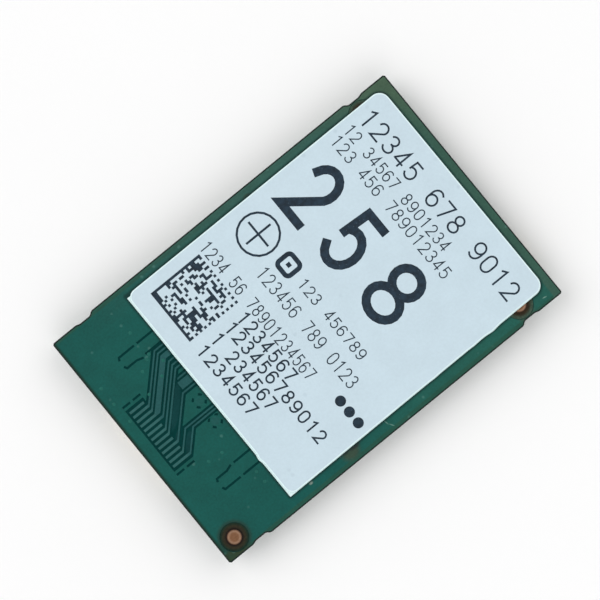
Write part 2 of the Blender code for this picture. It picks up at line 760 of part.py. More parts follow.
def contact_slot_profile():
    """The room that the housing leaves for a contact: under its foot, round its bend and behind its spring."""
    wall = connector_wall_inside()
    outside = CONNECTOR_WIDTH / 2 + CUT_OVER
    above = PART_Z + CUT_OVER
    under_foot = PART_Z - CONTACT_SHEET - SLOT_CLEARANCE
    tip = PART_Z - CONTACT_SHEET - CONTACT_RISE - 2 * SLOT_CLEARANCE
    groove = wall + 2 * SLOT_CLEARANCE
    return [
        (outside, above),
        (wall - CONTACT_SHEET - SLOT_CLEARANCE, above),
        (wall - CONTACT_SHEET - SLOT_CLEARANCE, tip),
        (groove, tip),
        (groove, under_foot - CONTACT_SHEET / 2),
        (groove + CONTACT_SHEET, under_foot),
        (outside, under_foot),
    ]


def nail_profile(end, side):
    """A fitting nail seen along the card: its foot on the board, and its arm up the housing's end wall."""
    return [
        (end - side * NAIL_SHEET, PART_Z),
        (end + side * NAIL_FOOT, PART_Z),
        (end + side * NAIL_FOOT, PART_Z - NAIL_SHEET),
        (end, PART_Z - NAIL_SHEET),
        (end, PART_Z - NAIL_HEIGHT),
        (end - side * NAIL_SHEET, PART_Z - NAIL_HEIGHT),
    ]


def build_connector_housing(material):
    """The socket's moulding: a tub with a chamfered rim and a rib down its middle."""
    x, y = along(COMB_MIDDLE), across(COMB_ACROSS)
    mouth = PART_Z - CONNECTOR_HEIGHT
    tub = prisms([box(x, y, CONNECTOR_WIDTH, connector_length())], mouth, PART_Z)
    round_low_edges(tub, mouth, CONNECTOR_CHAMFER, 1, with_corners=True)
    housing = add_object("connector_housing", tub, material)

    room_width = 2 * connector_wall_inside()
    room_length = connector_length() - 2 * CONNECTOR_END_WALL
    outline = box(x, y, room_width, room_length)
    room = add_object("socket_room", prisms([outline], mouth - CUT_OVER, PART_Z - CONNECTOR_FLOOR))
    island = box(x, y, room_width - 2 * CONNECTOR_PLUG_GAP, room_length - 2 * CONNECTOR_PLUG_GAP)
    rib = prisms([island], mouth + CONNECTOR_ISLAND_DROP, PART_Z)
    apply_boolean(room, add_object("socket_rib", rib))
    apply_boolean(housing, room)
    return housing


def build_connector(plastic, gold):
    """The board-to-board socket: its housing, two rows of bent contacts, and two nails that hold its ends."""
    x, y = along(COMB_MIDDLE), across(COMB_ACROSS)
    housing = build_connector_housing(plastic)

    slots = bmesh.new()
    slot_width = CONTACT_WIDTH + 2 * SLOT_CLEARANCE
    for index in range(LAND_COUNT):
        level = across(land_across(index))
        for row, side in (("outer", -1), ("inner", 1)):
            slot = [(x + side * a, level - slot_width / 2, z) for a, z in contact_slot_profile()]
            extrude(slots, slot, (0, slot_width, 0))
            contact = bmesh.new()
            ring = [(x + side * a, level - CONTACT_WIDTH / 2, z) for a, z in contact_profile()]
            extrude(contact, ring, (0, CONTACT_WIDTH, 0))
            add_object(f"contact_{row}_{index + 1:02d}", contact, gold)
    apply_boolean(housing, add_object("contact_slots", slots))

    nail_slots = bmesh.new()
    nail_room = (NAIL_WIDTH + 2 * SLOT_CLEARANCE, 2 * (NAIL_SHEET + SLOT_CLEARANCE))
    for name, side in (("connector_nail_lower", -1), ("connector_nail_upper", 1)):
        end = y + side * connector_length() / 2
        prism(nail_slots, box(x, end, *nail_room), PART_Z - NAIL_HEIGHT - SLOT_CLEARANCE, PART_Z + CUT_OVER)
        nail = bmesh.new()
        extrude(nail, [(x - NAIL_WIDTH / 2, b, z) for b, z in nail_profile(end, side)], (NAIL_WIDTH, 0, 0))
        add_object(name, nail, gold)
    apply_boolean(housing, add_object("nail_slots", nail_slots))


def build_receptacle(plastic, gold):
    """The coaxial antenna socket: a square base, a grooved shell with two ground tabs, and a centre pin."""
    x, y = along(RECEPTACLE_ALONG), across(RECEPTACLE_FROM_EDGE)
    base_z = PART_Z - RECEPTACLE_BASE_HEIGHT
    tip = PART_Z - RECEPTACLE_HEIGHT
    radius = RECEPTACLE_DIAMETER / 2
    half = RECEPTACLE_BASE / 2
    cut = half - RECEPTACLE_CHAMFER
    outline = [
        (x - half, y - half),
        (x + cut, y - half),
        (x + half, y - cut),
        (x + half, y + cut),
        (x + cut, y + half),
        (x - half, y + half),
    ]
    add_object("receptacle_base", prisms([outline], base_z, PART_Z), plastic)

    top = base_z - SLOT_CLEARANCE
    groove_z = (top + tip) / 2
    inner = radius - RECEPTACLE_WALL
    profile = [
        (inner, top),
        (radius, top),
        (radius, groove_z + RECEPTACLE_GROOVE),
        (radius - RECEPTACLE_GROOVE, groove_z),
        (radius, groove_z - RECEPTACLE_GROOVE),
        (radius - RECEPTACLE_GROOVE, tip),
        (inner, tip),
    ]
    shell = add_object("receptacle_shell", turned(profile, ROUND_STEPS, (x, y), 0), gold)
    tabs = bmesh.new()
    sheet = RECEPTACLE_TAB_SHEET
    edge = half + SLOT_CLEARANCE
    path = [
        (radius - RECEPTACLE_WALL / 2, top - sheet / 2),
        (edge + sheet / 2, top - sheet / 2),
        (edge + sheet / 2, PART_Z - sheet / 2),
        (edge + RECEPTACLE_TAB_REACH, PART_Z - sheet / 2),
    ]
    for side in (-1, 1):
        ring = [(x - RECEPTACLE_TAB_WIDTH / 2, y + side * b, z) for b, z in strip(path, [sheet] * 3)]
        extrude(tabs, ring, (RECEPTACLE_TAB_WIDTH, 0, 0))
    apply_boolean(shell, add_object("shell_tabs", tabs), "UNION")
    bore = prisms([arc((x, y), inner, 0, 360, ROUND_STEPS)[:-1]], tip - CUT_OVER, top + CUT_OVER)
    apply_boolean(shell, add_object("shell_bore", bore))
    shade_round(shell)

    pin_radius = RECEPTACLE_PIN / 2
    round_end = arc((0, tip + RECEPTACLE_PIN_DROP + pin_radius), pin_radius, 0, -90, CORNER_STEPS)
    pin_profile = [(0, top), (pin_radius, top), *round_end]
    pin = add_object("receptacle_pin", turned(pin_profile, SMALL_ROUND_STEPS, (x, y), 0), gold)
    shade_round(pin)


def seat(name, size, middle, material, bevel=CHIP_BEVEL, mark=False):
    """A rectangular part soldered under the board, with bevelled edges or, on a chip, a round pin mark."""
    length, width, height = size
    low = PART_Z - height
    made = add_object(name, prisms([box(*middle, length, width)], low, PART_Z), material)
    if mark:
        spot = (middle[0] - length / 2 + PIN_MARK_DIAMETER, middle[1] - width / 2 + PIN_MARK_DIAMETER)
        outline = arc(spot, PIN_MARK_DIAMETER / 2, 0, 360, SMALL_ROUND_STEPS)[:-1]
        dot = prisms([outline], low - CUT_OVER, low + PIN_MARK_DEPTH)
        apply_boolean(made, add_object(name + "_mark", dot))
    else:
        bevel_edges(made, bevel)


def two_terminal(name, height, middle, turned_across, material):
    """A chip capacitor or resistor: a body whose two end caps stand a little proud of it."""
    body = Vector((
        TERMINAL_PART_LENGTH - 2 * TERMINAL_LENGTH,
        TERMINAL_PART_WIDTH - 2 * TERMINAL_PROUD,
        height - 2 * TERMINAL_PROUD,
    ))
    step_out = (1, TERMINAL_PART_WIDTH / body.y, height / body.z)
    shape = bmesh.new()
    bmesh.ops.create_cube(shape, size=1, matrix=Matrix.Diagonal((*body, 1)))
    shape.normal_update()
    ends = {side: [face for face in shape.faces if face.normal.x * side > 0.9] for side in (-1, 1)}
    for side, end in ends.items():
        for growth, shift in ((step_out, 0), ((1, 1, 1), side * TERMINAL_LENGTH)):
            grown = bmesh.ops.extrude_face_region(shape, geom=end)["geom"]
            bmesh.ops.delete(shape, geom=end, context="FACES_ONLY")
            end = [item for item in grown if isinstance(item, bmesh.types.BMFace)]
            corners = [item for item in grown if isinstance(item, bmesh.types.BMVert)]
            bmesh.ops.scale(shape, verts=corners, vec=growth)
            bmesh.ops.translate(shape, verts=corners, vec=(shift, 0, 0))
    if turned_across:
        bmesh.ops.rotate(shape, verts=shape.verts, matrix=Matrix.Rotation(math.pi / 2, 3, "Z"))
    bmesh.ops.translate(shape, verts=shape.verts, vec=(*middle, PART_Z - height / 2))
    add_object(name, shape, material)


def build_crystal(x, y, ceramic, metal):
    """A crystal in its ceramic base, closed by a thin metal lid that stops short of the base's edges."""
    seat("crystal_base", (CRYSTAL_LENGTH, CRYSTAL_WIDTH, CRYSTAL_HEIGHT), (x, y), ceramic)
    lid_low = PART_Z - CRYSTAL_HEIGHT - SOLDER_LINE - CRYSTAL_LID_SHEET
    cover = box(x, y, CRYSTAL_LENGTH - 2 * CRYSTAL_LID_INSET, CRYSTAL_WIDTH - 2 * CRYSTAL_LID_INSET)
    add_object("crystal_lid", prisms([cover], lid_low, lid_low + CRYSTAL_LID_SHEET), metal)


def build_parts_under_shield(black, ceramic, metal, grey):
    """The chips, crystal, inductors and filter, set from the shield's walls and its middle."""
    start = along(SHIELD_START) + SHIELD_SHEET + PART_SPACING
    end = along(SHIELD_END) - SHIELD_SHEET - PART_SPACING
    upper = across(BOARD_WIDTH - SHIELD_SIDE_MARGIN) - SHIELD_SHEET - PART_SPACING
    lower = across(SHIELD_SIDE_MARGIN) + SHIELD_SHEET + PART_SPACING
    middle = along(SHIELD_MIDDLE)

    for name, x, size in (
        ("wireless_chip", middle, (WIRELESS_CHIP_SIDE, WIRELESS_CHIP_SIDE, WIRELESS_CHIP_HEIGHT)),
        (
            "memory_chip",
            start + MEMORY_CHIP_LENGTH / 2,
            (MEMORY_CHIP_LENGTH, MEMORY_CHIP_WIDTH, MEMORY_CHIP_HEIGHT),
        ),
        (
            "front_end_chip",
            end - FRONT_END_CHIP_SIDE / 2,
            (FRONT_END_CHIP_SIDE, FRONT_END_CHIP_SIDE, FRONT_END_CHIP_HEIGHT),
        ),
    ):
        seat(name, size, (x, 0), black, mark=True)

    inductor = (INDUCTOR_LENGTH, INDUCTOR_WIDTH, INDUCTOR_HEIGHT)
    for name, y in (
        ("inductor_lower", lower + INDUCTOR_WIDTH / 2),
        ("inductor_upper", upper - INDUCTOR_WIDTH / 2),
    ):
        seat(name, inductor, (start + INDUCTOR_LENGTH / 2, y), grey, bevel=INDUCTOR_BEVEL)

    filter_middle = (end - FILTER_LENGTH / 2, lower + FILTER_WIDTH / 2)
    seat("band_filter", (FILTER_LENGTH, FILTER_WIDTH, FILTER_HEIGHT), filter_middle, ceramic)
    build_crystal(end - CRYSTAL_LENGTH / 2, upper - CRYSTAL_WIDTH / 2, ceramic, metal)

    beside_chip = WIRELESS_CHIP_SIDE / 2 + PART_SPACING
    for name, x, y in (
        ("capacitor_1", middle - PART_SPACING, beside_chip),
        ("capacitor_2", middle + PART_SPACING, beside_chip),
        ("capacitor_3", middle, -beside_chip),
    ):
        two_terminal(name, CAPACITOR_HEIGHT, (x, y), True, ceramic)


def build_parts_beside_shield(ceramic, black):
    """The small parts in the open: two between the connector and the shield, two beside the receptacle."""
    x = along(SHIELD_START) - LID_FIT - LID_SHEET - PART_SPACING
    for name, level in (("capacitor_4", PAD_NEAR), ("capacitor_5", -PAD_NEAR)):
        two_terminal(name, CAPACITOR_HEIGHT, (x, across(COMB_ACROSS + level)), True, ceramic)
    x = along(RECEPTACLE_ALONG)
    y = across(RECEPTACLE_FROM_EDGE) + RECEPTACLE_BASE / 2 + RECEPTACLE_TAB_REACH + PART_SPACING
    for name, level in (("resistor_1", y), ("resistor_2", y + PART_SPACING)):
        two_terminal(name, RESISTOR_HEIGHT, (x, level), False, black)


def main():
    clear_scene()
    mask = make_material("green solder mask", (0.011, 0.098, 0.076), 0.45, 0.0)
    film = make_material("clear film", (0.63, 0.85, 0.87), 0.35, 0.0)
    paper = make_material("white label stock", (0.60, 0.70, 0.78), 0.55, 0.0)
    tin = make_material("tinned sheet", (0.62, 0.62, 0.60), 0.35, 1.0)
    gold = make_material("gold plate", (0.80, 0.58, 0.28), 0.25, 1.0)
    beige = make_material("beige moulding", (0.62, 0.55, 0.42), 0.50, 0.0)
    black = make_material("black moulding", (0.02, 0.02, 0.02), 0.55, 0.0)
    ceramic = make_material("brown ceramic", (0.30, 0.22, 0.15), 0.45, 0.0)
    grey = make_material("grey ferrite", (0.10, 0.10, 0.10), 0.60, 0.0)

    build_board(mask)
    build_film(film)
    build_label(paper)
    build_shield_frame(tin)
    build_shield_lid(tin)
    build_connector(beige, gold)
    build_receptacle(beige, gold)
    build_parts_under_shield(black, ceramic, tin, grey)
    build_parts_beside_shield(ceramic, black)


main()
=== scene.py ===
"""The finished look of a wireless network card: its etched board, printed label, shield can and sockets."""

import math
import random

import bmesh
import bpy
from mathutils import Matrix, Vector


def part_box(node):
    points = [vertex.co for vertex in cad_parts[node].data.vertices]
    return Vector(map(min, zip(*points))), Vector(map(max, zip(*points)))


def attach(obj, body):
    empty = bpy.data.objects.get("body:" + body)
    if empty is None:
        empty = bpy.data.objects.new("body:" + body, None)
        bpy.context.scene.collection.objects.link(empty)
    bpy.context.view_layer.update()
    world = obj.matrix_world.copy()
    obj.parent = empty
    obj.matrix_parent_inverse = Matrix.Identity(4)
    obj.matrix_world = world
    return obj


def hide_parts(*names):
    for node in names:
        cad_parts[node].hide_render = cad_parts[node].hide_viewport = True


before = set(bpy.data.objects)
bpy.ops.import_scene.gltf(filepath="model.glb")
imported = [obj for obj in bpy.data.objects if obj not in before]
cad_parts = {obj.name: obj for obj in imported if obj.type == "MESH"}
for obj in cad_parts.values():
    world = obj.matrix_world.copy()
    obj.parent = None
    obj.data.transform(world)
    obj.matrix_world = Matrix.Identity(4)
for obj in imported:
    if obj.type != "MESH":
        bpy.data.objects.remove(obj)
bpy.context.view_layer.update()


# Circuit board: a laminate of 0.8 mm, etched on both sides and covered with green solder mask.
# The mask sinks into the gaps between the copper lands and tracks, which show as dark lines.
# Its edges were milled, apart from two tabs on each long edge that were broken off.
MM = 0.001
BOARD_LOW, BOARD_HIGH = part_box("circuit_board")
MERGE_DISTANCE = 0.00005 * MM
FLAT_ANGLE = math.radians(0.5)
LEVEL_SLACK = 0.004 * MM
# How far up a face's normal points, at least where the face is level, and at most where it is a wall
FACES_UP, FACES_SIDE = 0.9, 0.1
EDGE_ROUND = 0.11 * MM
POUR_SHOULDER = 0.026 * MM
TRACK_SHOULDER = 0.010 * MM
DISC_DROP = 0.020 * MM
RING_DROP = 0.055 * MM
DISC_RADIUS = 0.54 * MM
OPENING_REACH = 1.10 * MM
POUR, ETCHED, TRACK, RING, DISC, MILLED, UNDERSIDE = range(7)
# Places on the card are in millimetres, along it from its bare end and across it from its lower long edge
TRACKS_HIDDEN_FROM = 6.30
LAND_MIDDLE = 1.81
LAND_PITCH = 0.40
FIRST_LAND_ACROSS = 7.88
FREE_LANDS = 13
GROUND_PAD_SPOTS = ((5.60, 12.00), (5.80, 12.50))
TIPS_FROM, TIPS_TO = 5.00, 6.00
TIPS_END, TIPS_LIMIT = 8.90, 8.975
DISC_SPOTS = ((1.40, 1.38), (27.08, 1.38), (27.08, 18.62))
CAD_DISC_SPOT = (1.31, 1.38)


def along(distance):
    """The x of a place along the card."""
    return BOARD_LOW.x + distance * MM


def across(distance):
    """The y of a place across the card."""
    return BOARD_LOW.y + distance * MM


def colour(red, green, blue):
    """A colour as a photograph gives it, 0 to 255, in the linear values that a shader takes."""
    parts = []
    for value in (red, green, blue):
        share = value / 255
        parts.append(share / 12.92 if share <= 0.04045 else ((share + 0.055) / 1.055) ** 2.4)
    return (*parts, 1.0)


def add_node(tree, kind, given=None, **settings):
    """A shader node with its settings, its inputs set to values or linked to other nodes' outputs."""
    node = tree.nodes.new("ShaderNode" + kind)
    for name, value in settings.items():
        setattr(node, name, value)
    for name, value in (given or {}).items():
        if isinstance(value, bpy.types.NodeSocket):
            tree.links.new(value, node.inputs[name])
        else:
            node.inputs[name].default_value = value
    return node


def calculate(tree, operation, first, second=0.0):
    return add_node(tree, "Math", {0: first, 1: second}, operation=operation).outputs[0]


def ramp(tree, value, start, end, low=0.0, high=1.0):
    """A value that goes smoothly from low to high while another goes from start to end."""
    given = {"Value": value, "From Min": start, "From Max": end, "To Min": low, "To Max": high}
    return add_node(tree, "MapRange", given, interpolation_type="SMOOTHSTEP").outputs["Result"]


def blend_colours(tree, share, first, second):
    node = add_node(tree, "Mix", {0: share, 6: first, 7: second}, data_type="RGBA")
    return node.outputs[2]


def wash(tree, value, base, tint, start, end, share=1.0):
    """A colour that turns into another, by a share, while a value goes from start to end."""
    return blend_colours(tree, ramp(tree, value, start, end, 0.0, share), base, tint)


def object_place(tree):
    return add_node(tree, "TexCoord").outputs["Object"]


def object_axes(tree):
    return add_node(tree, "SeparateXYZ", {0: object_place(tree)}).outputs


def spot(tree, middle, reach, turn, soft):
    """A mask that is one inside a flat oval on the card, and fades out towards the oval's edge."""
    given = {
        "Vector": object_place(tree),
        "Location": (along(middle[0]), across(middle[1]), 0),
        "Rotation": (0, 0, math.radians(turn)),
        "Scale": (reach[0] * MM, reach[1] * MM, 1),
    }
    local = add_node(tree, "Mapping", given, vector_type="TEXTURE").outputs["Vector"]
    distance = add_node(tree, "VectorMath", {0: local}, operation="LENGTH").outputs["Value"]
    return ramp(tree, distance, 1 - soft, 1, 1.0, 0.0)


def new_group(name, inputs, outputs):
    """A shader node group with named inputs and outputs."""
    tree = bpy.data.node_groups.new(name, "ShaderNodeTree")
    for title, kind in inputs:
        tree.interface.new_socket(title, in_out="INPUT", socket_type="NodeSocket" + kind)
    for title, kind in outputs:
        tree.interface.new_socket(title, in_out="OUTPUT", socket_type="NodeSocket" + kind)
    return tree, tree.nodes.new("NodeGroupInput").outputs, tree.nodes.new("NodeGroupOutput").inputs


def scaled_place(tree, size):
    """The place on a piece, counted in steps of a size in metres."""
    given = {0: object_place(tree), "Scale": calculate(tree, "DIVIDE", 1.0, size)}
    return add_node(tree, "VectorMath", given, operation="SCALE").outputs[0]


def scaled_noise(tree, size, detail=3.0):
    """Noise whose patches are about as large as a size in metres."""
    given = {"Vector": scaled_place(tree, size), "Scale": 1.0, "Detail": detail, "Roughness": 0.6}
    return add_node(tree, "TexNoise", given).outputs["Fac"]


NOISE_SPAN = (0.3, 0.7)
SPECK_RIM = (0.10, 0.30)


def make_mottle_group():
    """Patches a little darker and a little lighter than a colour."""
    inputs = [("Colour", "Color"), ("Size", "Float"), ("Strength", "Float")]
    tree, given, result = new_group("mottle", inputs, [("Colour", "Color")])
    low = calculate(tree, "SUBTRACT", 1.0, given["Strength"])
    high = calculate(tree, "ADD", 1.0, given["Strength"])
    level = ramp(tree, scaled_noise(tree, given["Size"]), *NOISE_SPAN, low, high)
    scaled = add_node(tree, "VectorMath", {0: given["Colour"], "Scale": level}, operation="SCALE")
    tree.links.new(scaled.outputs[0], result["Colour"])
    return tree


def make_grain_group():
    """The height of a fine grain, from zero to one."""
    tree, given, result = new_group("grain", [("Size", "Float")], [("Height", "Float")])
    tree.links.new(scaled_noise(tree, given["Size"], 2.0), result["Height"])
    return tree


def make_speck_group():
    """A mask of small round specks, scattered one to a cell, of which only a share shows."""
    inputs = [("Size", "Float"), ("Share", "Float")]
    tree, given, result = new_group("specks", inputs, [("Mask", "Float")])
    cells = add_node(tree, "TexVoronoi", {"Vector": scaled_place(tree, given["Size"]), "Scale": 1.0})
    chance = add_node(tree, "SeparateXYZ", {0: cells.outputs["Color"]}).outputs["X"]
    chosen = calculate(tree, "LESS_THAN", chance, given["Share"])
    dot = ramp(tree, cells.outputs["Distance"], *SPECK_RIM, 1.0, 0.0)
    tree.links.new(calculate(tree, "MULTIPLY", chosen, dot), result["Mask"])
    return tree


MOTTLE, GRAIN, SPECKS = make_mottle_group(), make_grain_group(), make_speck_group()


def use_group(tree, group, **given):
    titled = {name.capitalize(): value for name, value in given.items()}
    return add_node(tree, "Group", titled, node_tree=group).outputs[0]


def sprinkle(tree, base, tint, size, share, strength):
    """A colour with specks of another on it, scattered one to a cell of a size in millimetres."""
    specks = use_group(tree, SPECKS, size=size * MM, share=share)
    return blend_colours(tree, calculate(tree, "MULTIPLY", specks, strength), base, tint)


def shader_inputs(material):
    return material.node_tree.nodes["Principled BSDF"].inputs


def new_material(name, roughness, metallic=0.0, specular=0.5):
    material = bpy.data.materials.new(name)
    material.use_nodes = True
    given = {"Roughness": roughness, "Metallic": metallic, "Specular IOR Level": specular}
    for title, value in given.items():
        shader_inputs(material)[title].default_value = value
    return material


def finish_material(material, base, patches, grain, specks=None):
    """Gives a material its colour, made uneven by patches and specks, and its grain as bump.

    A patch has a size and a strength, the grain a size and a depth. Sizes and depths are in millimetres.
    """
    tree, shader = material.node_tree, shader_inputs(material)
    for size, strength in patches:
        base = use_group(tree, MOTTLE, colour=base, size=size * MM, strength=strength)
    if specks:
        base = sprinkle(tree, base, *specks)
    tree.links.new(base, shader["Base Color"])
    size, depth = grain
    given = {"Height": use_group(tree, GRAIN, size=size * MM), "Distance": depth * MM, "Strength": 1.0}
    tree.links.new(add_node(tree, "Bump", given).outputs["Normal"], shader["Normal"])
    return material


def grime_line(tree):
    """A mask of a painted shadow: the dark line that the sheets cast on the lacquer along their edges."""
    place = object_axes(tree)
    corner = ramp(tree, place["X"], *HALVES_MEET, SHADOW_LINE_CORNER, SHEET_CORNER)
    from_left = calculate(tree, "SUBTRACT", place["X"], SHEET_LOW.x)
    from_top = calculate(tree, "SUBTRACT", SHEET_HIGH.y, place["Y"])
    from_top = calculate(tree, "DIVIDE", from_top, SHEET_HIGH.y - SHEET_LOW.y)
    lower_lean = calculate(tree, "MULTIPLY", from_left, LOWER_LEAN)
    left_lean = calculate(tree, "MULTIPLY", from_top, LEFT_LEAN)
    right_lean = calculate(tree, "MULTIPLY", calculate(tree, "SUBTRACT", 1.0, from_top), RIGHT_LEAN)
    lower_edge = calculate(tree, "ADD", lower_lean, SHEET_LOW.y + LOWER_INSET)
    left_edge = calculate(tree, "ADD", left_lean, SHEET_LOW.x + FILM_INSET)
    right_edge = calculate(tree, "SUBTRACT", SHEET_HIGH.x, right_lean)
    beyond = []
    for axis, low, high in (("X", left_edge, right_edge), ("Y", lower_edge, SHEET_HIGH.y)):
        before_low = calculate(tree, "SUBTRACT", low, place[axis])
        past_high = calculate(tree, "SUBTRACT", place[axis], high)
        past_side = calculate(tree, "MAXIMUM", before_low, past_high)
        beyond.append(calculate(tree, "MAXIMUM", calculate(tree, "ADD", past_side, corner), 0.0))
    reach = add_node(tree, "CombineXYZ", {"X": beyond[0], "Y": beyond[1]}).outputs[0]
    length = add_node(tree, "VectorMath", {0: reach}, operation="LENGTH").outputs["Value"]
    outside = calculate(tree, "SUBTRACT", length, corner)
    return ramp(tree, outside, SHADOW_LINE_FROM, SHADOW_LINE_TO, SHADOW_LINE_SHARE, 0.0)


def mask_material(name, tint, marks=None, specular=0.22):
    """Solder mask: glossy green lacquer, a little uneven in thickness."""
    material = new_material(name, 0.42, specular=specular)
    tree = material.node_tree
    if marks:
        # Painted shadow: the lacquer is darkened in a line along the label's edges.
        tint = blend_colours(tree, grime_line(tree), marks(tree, tint), SHADOW_LINE_TINT)
    return finish_material(material, tint, ((1.60, 0.07), (0.16, 0.09)), (0.12, 0.0025))


def marked_pour(tree, tint):
    """The mask's colour over the ground copper, olive along its bare margins, with this card's stains."""
    place = object_axes(tree)
    x, y = place["X"], place["Y"]
    base = wash(tree, x, tint, *FAR_WASH)
    base = wash(tree, calculate(tree, "ABSOLUTE", y), base, *MARGIN_WASH)
    upper = calculate(tree, "MULTIPLY", ramp(tree, y, *UPPER_REACH), ramp(tree, x, *UPPER_FADE))
    base = blend_colours(tree, upper, base, UPPER_TINT)
    base = wash(tree, x, base, *BARE_END_WASH)
    base = wash(tree, x, base, *FAR_END_WASH)
    slant = calculate(tree, "ADD", calculate(tree, "MULTIPLY", x, WARM_SLANT), y)
    base = wash(tree, slant, base, *WARM_WASH)
    for middle, reach, turn, soft, share, stain in STAINS:
        oval = spot(tree, middle, reach, turn, soft)
        base = blend_colours(tree, calculate(tree, "MULTIPLY", oval, share), base, stain)
    return sprinkle(tree, base, *MASK_DUST)


def marked_floor(tree, tint):
    """The mask's colour in the etched gaps: paler where a wide stretch of laminate lies bare under it."""
    base = tint
    for middle, reach in BARE_STRETCHES:
        base = blend_colours(tree, spot(tree, middle, reach, BARE_TURN, BARE_SOFTNESS), base, BARE_TINT)
    return base


def marked_lands(tree, tint):
    """The mask's colour over the lands and tracks: paler over the lands, as a painted highlight along them.
    """
    return wash(tree, object_axes(tree)["X"], LAND_HIGHLIGHT_TINT, tint, along(LANDS_TO), along(TRACKS_FROM))


# Each wide gap between the slanting tracks: its middle, and its half length and half width
BARE_STRETCHES = (
    ((3.95, 11.05), (1.95, 0.36)),
    ((3.10, 8.55), (0.95, 0.22)),
    ((2.75, 9.30), (0.50, 0.20)),
)
BARE_TURN, BARE_SOFTNESS = 45, 0.35
MASK_TINT = colour(11, 83, 76)
ETCHED_TINT = colour(3, 56, 54)
BARE_TINT = colour(18, 62, 62)
TRACK_TINT = colour(38, 86, 86)
# Painted highlight: the lighter colour over the lands
LAND_HIGHLIGHT_TINT = colour(50, 98, 96)
LANDS_TO, TRACKS_FROM = 2.35, 2.75
UNDERSIDE_TINT = colour(16, 88, 72)
# Specks of dust: their colour, the size of their cells, how many of the cells have one, how strong they are
MASK_DUST = (colour(110, 160, 150), 0.55, 0.10, 0.20)
# Each wash: its colour, where it starts and is full from the card's middle, its share where it isn't whole
FAR_WASH = (colour(30, 90, 79), -9.0 * MM, 8.0 * MM)
MARGIN_WASH = (colour(34, 78, 62), 9.57 * MM, 9.68 * MM, 0.75)
BARE_END_WASH = (colour(10, 55, 43), -14.68 * MM, -14.86 * MM)
FAR_END_WASH = (colour(53, 89, 76), 14.26 * MM, 14.42 * MM)
WARM_WASH = (colour(70, 95, 75), 15.5 * MM, 22.0 * MM)
WARM_SLANT = 0.8
UPPER_TINT = colour(54, 91, 82)
UPPER_REACH = (7.5 * MM, 9.4 * MM)
UPPER_FADE = (-14.0 * MM, 2.0 * MM, 0.0, 0.8)
# Where the looks of the card's bare half turn into those of its far half
HALVES_MEET = (0, 1.0 * MM)
# The painted shadow along the sheets' edges: its colour, where it fades out, its strength and its corners'
# rounding
SHADOW_LINE_TINT = colour(2, 40, 38)
SHADOW_LINE_FROM, SHADOW_LINE_TO = 0.03 * MM, 0.26 * MM
SHADOW_LINE_SHARE = 0.75
SHADOW_LINE_CORNER = 0.01 * MM
SHEET_CORNER = 0.80 * MM
# The sheets were stuck on a little turned: how far each side's end lies in from the CAD's straight sides
LOWER_INSET = 0.03 * MM
LOWER_LEAN = 0.004
FILM_INSET = 0.03 * MM
LEFT_LEAN = 0.10 * MM
RIGHT_LEAN = 0.08 * MM
FILM_LOW, FILM_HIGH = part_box("label_film")
LABEL_LOW, LABEL_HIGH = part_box("label")
SHEET_LOW = Vector(map(min, zip(FILM_LOW, LABEL_LOW)))
SHEET_HIGH = Vector(map(max, zip(FILM_HIGH, LABEL_HIGH)))
OLIVE_STAIN = colour(58, 70, 54)
BROWN_STAIN = colour(52, 62, 46)
UMBER_STAIN = colour(40, 38, 38)
DARK_STAIN = colour(34, 50, 38)
CORNER_STAIN = colour(46, 58, 32)
PALE_STAIN = colour(150, 165, 155)
SCRATCH_TINT = colour(118, 156, 142)
# Each stain: its middle, half length and half width, turn in degrees, softness, strength and colour
STAINS = (
    ((11.45, 0.85), (0.95, 0.75), 0, 0.6, 0.8, OLIVE_STAIN),
    ((11.95, 1.05), (0.62, 0.34), 0, 0.6, 0.75, UMBER_STAIN),
    ((11.15, 1.10), (0.40, 0.32), 0, 0.7, 0.5, UMBER_STAIN),
    ((17.10, 19.35), (0.45, 0.22), 0, 0.8, 0.6, BROWN_STAIN),
    (DISC_SPOTS[0], (1.38, 1.38), 0, 0.30, 0.85, DARK_STAIN),
    ((0.60, 0.40), (1.50, 0.62), 0, 0.5, 0.75, CORNER_STAIN),
    ((27.08, 0.60), (0.85, 0.50), 0, 0.5, 0.8, OLIVE_STAIN),
    ((7.93, 0.93), (0.22, 0.15), 0, 0.8, 0.85, PALE_STAIN),
    ((14.68, 0.88), (0.30, 0.06), -78, 0.8, 0.6, SCRATCH_TINT),
    ((14.88, 0.50), (0.30, 0.06), -58, 0.8, 0.6, SCRATCH_TINT),
    ((28.80, 0.65), (0.24, 0.06), -12, 0.8, 0.8, SCRATCH_TINT),
    ((5.50, 8.52), (0.38, 0.38), 0, 0.4, 0.35, TRACK_TINT),
    ((5.50, 10.30), (0.38, 0.38), 0, 0.4, 0.25, TRACK_TINT),
)


def disc_distance(tree):
    """The distance to the middle of the nearest alignment disc."""
    place = object_place(tree)
    nearest = 1.0
    for a, c in DISC_SPOTS:
        shifted = add_node(tree, "VectorMath", {0: place, 1: (along(a), across(c), 0)}, operation="SUBTRACT")
        flat = add_node(tree, "VectorMath", {0: shifted.outputs[0], 1: (1, 1, 0)}, operation="MULTIPLY")
        length = add_node(tree, "VectorMath", {0: flat.outputs[0]}, operation="LENGTH").outputs["Value"]
        nearest = calculate(tree, "MINIMUM", length, nearest)
    return nearest


# The colours outwards from a disc's middle: the first, then each next one and where it starts and is full
COPPER_TINT = colour(127, 88, 61)
COPPER_STEPS = ((colour(152, 118, 94), 0.26 * MM, 0.42 * MM), (colour(62, 36, 22), 0.42 * MM, DISC_RADIUS))
RESIN_TINT = colour(20, 4, 0)
RESIN_STEPS = ((colour(42, 38, 22), DISC_RADIUS, 0.75 * MM), (colour(16, 42, 28), 0.76 * MM, 0.98 * MM))
FAR_RESIN_TINT = colour(44, 32, 14)
FAR_RESIN_STEPS = ((colour(60, 82, 68), 0.64 * MM, 1.00 * MM),)


def wash_outwards(tree, base, steps):
    distance = disc_distance(tree)
    for step in steps:
        base = wash(tree, distance, base, *step)
    return base


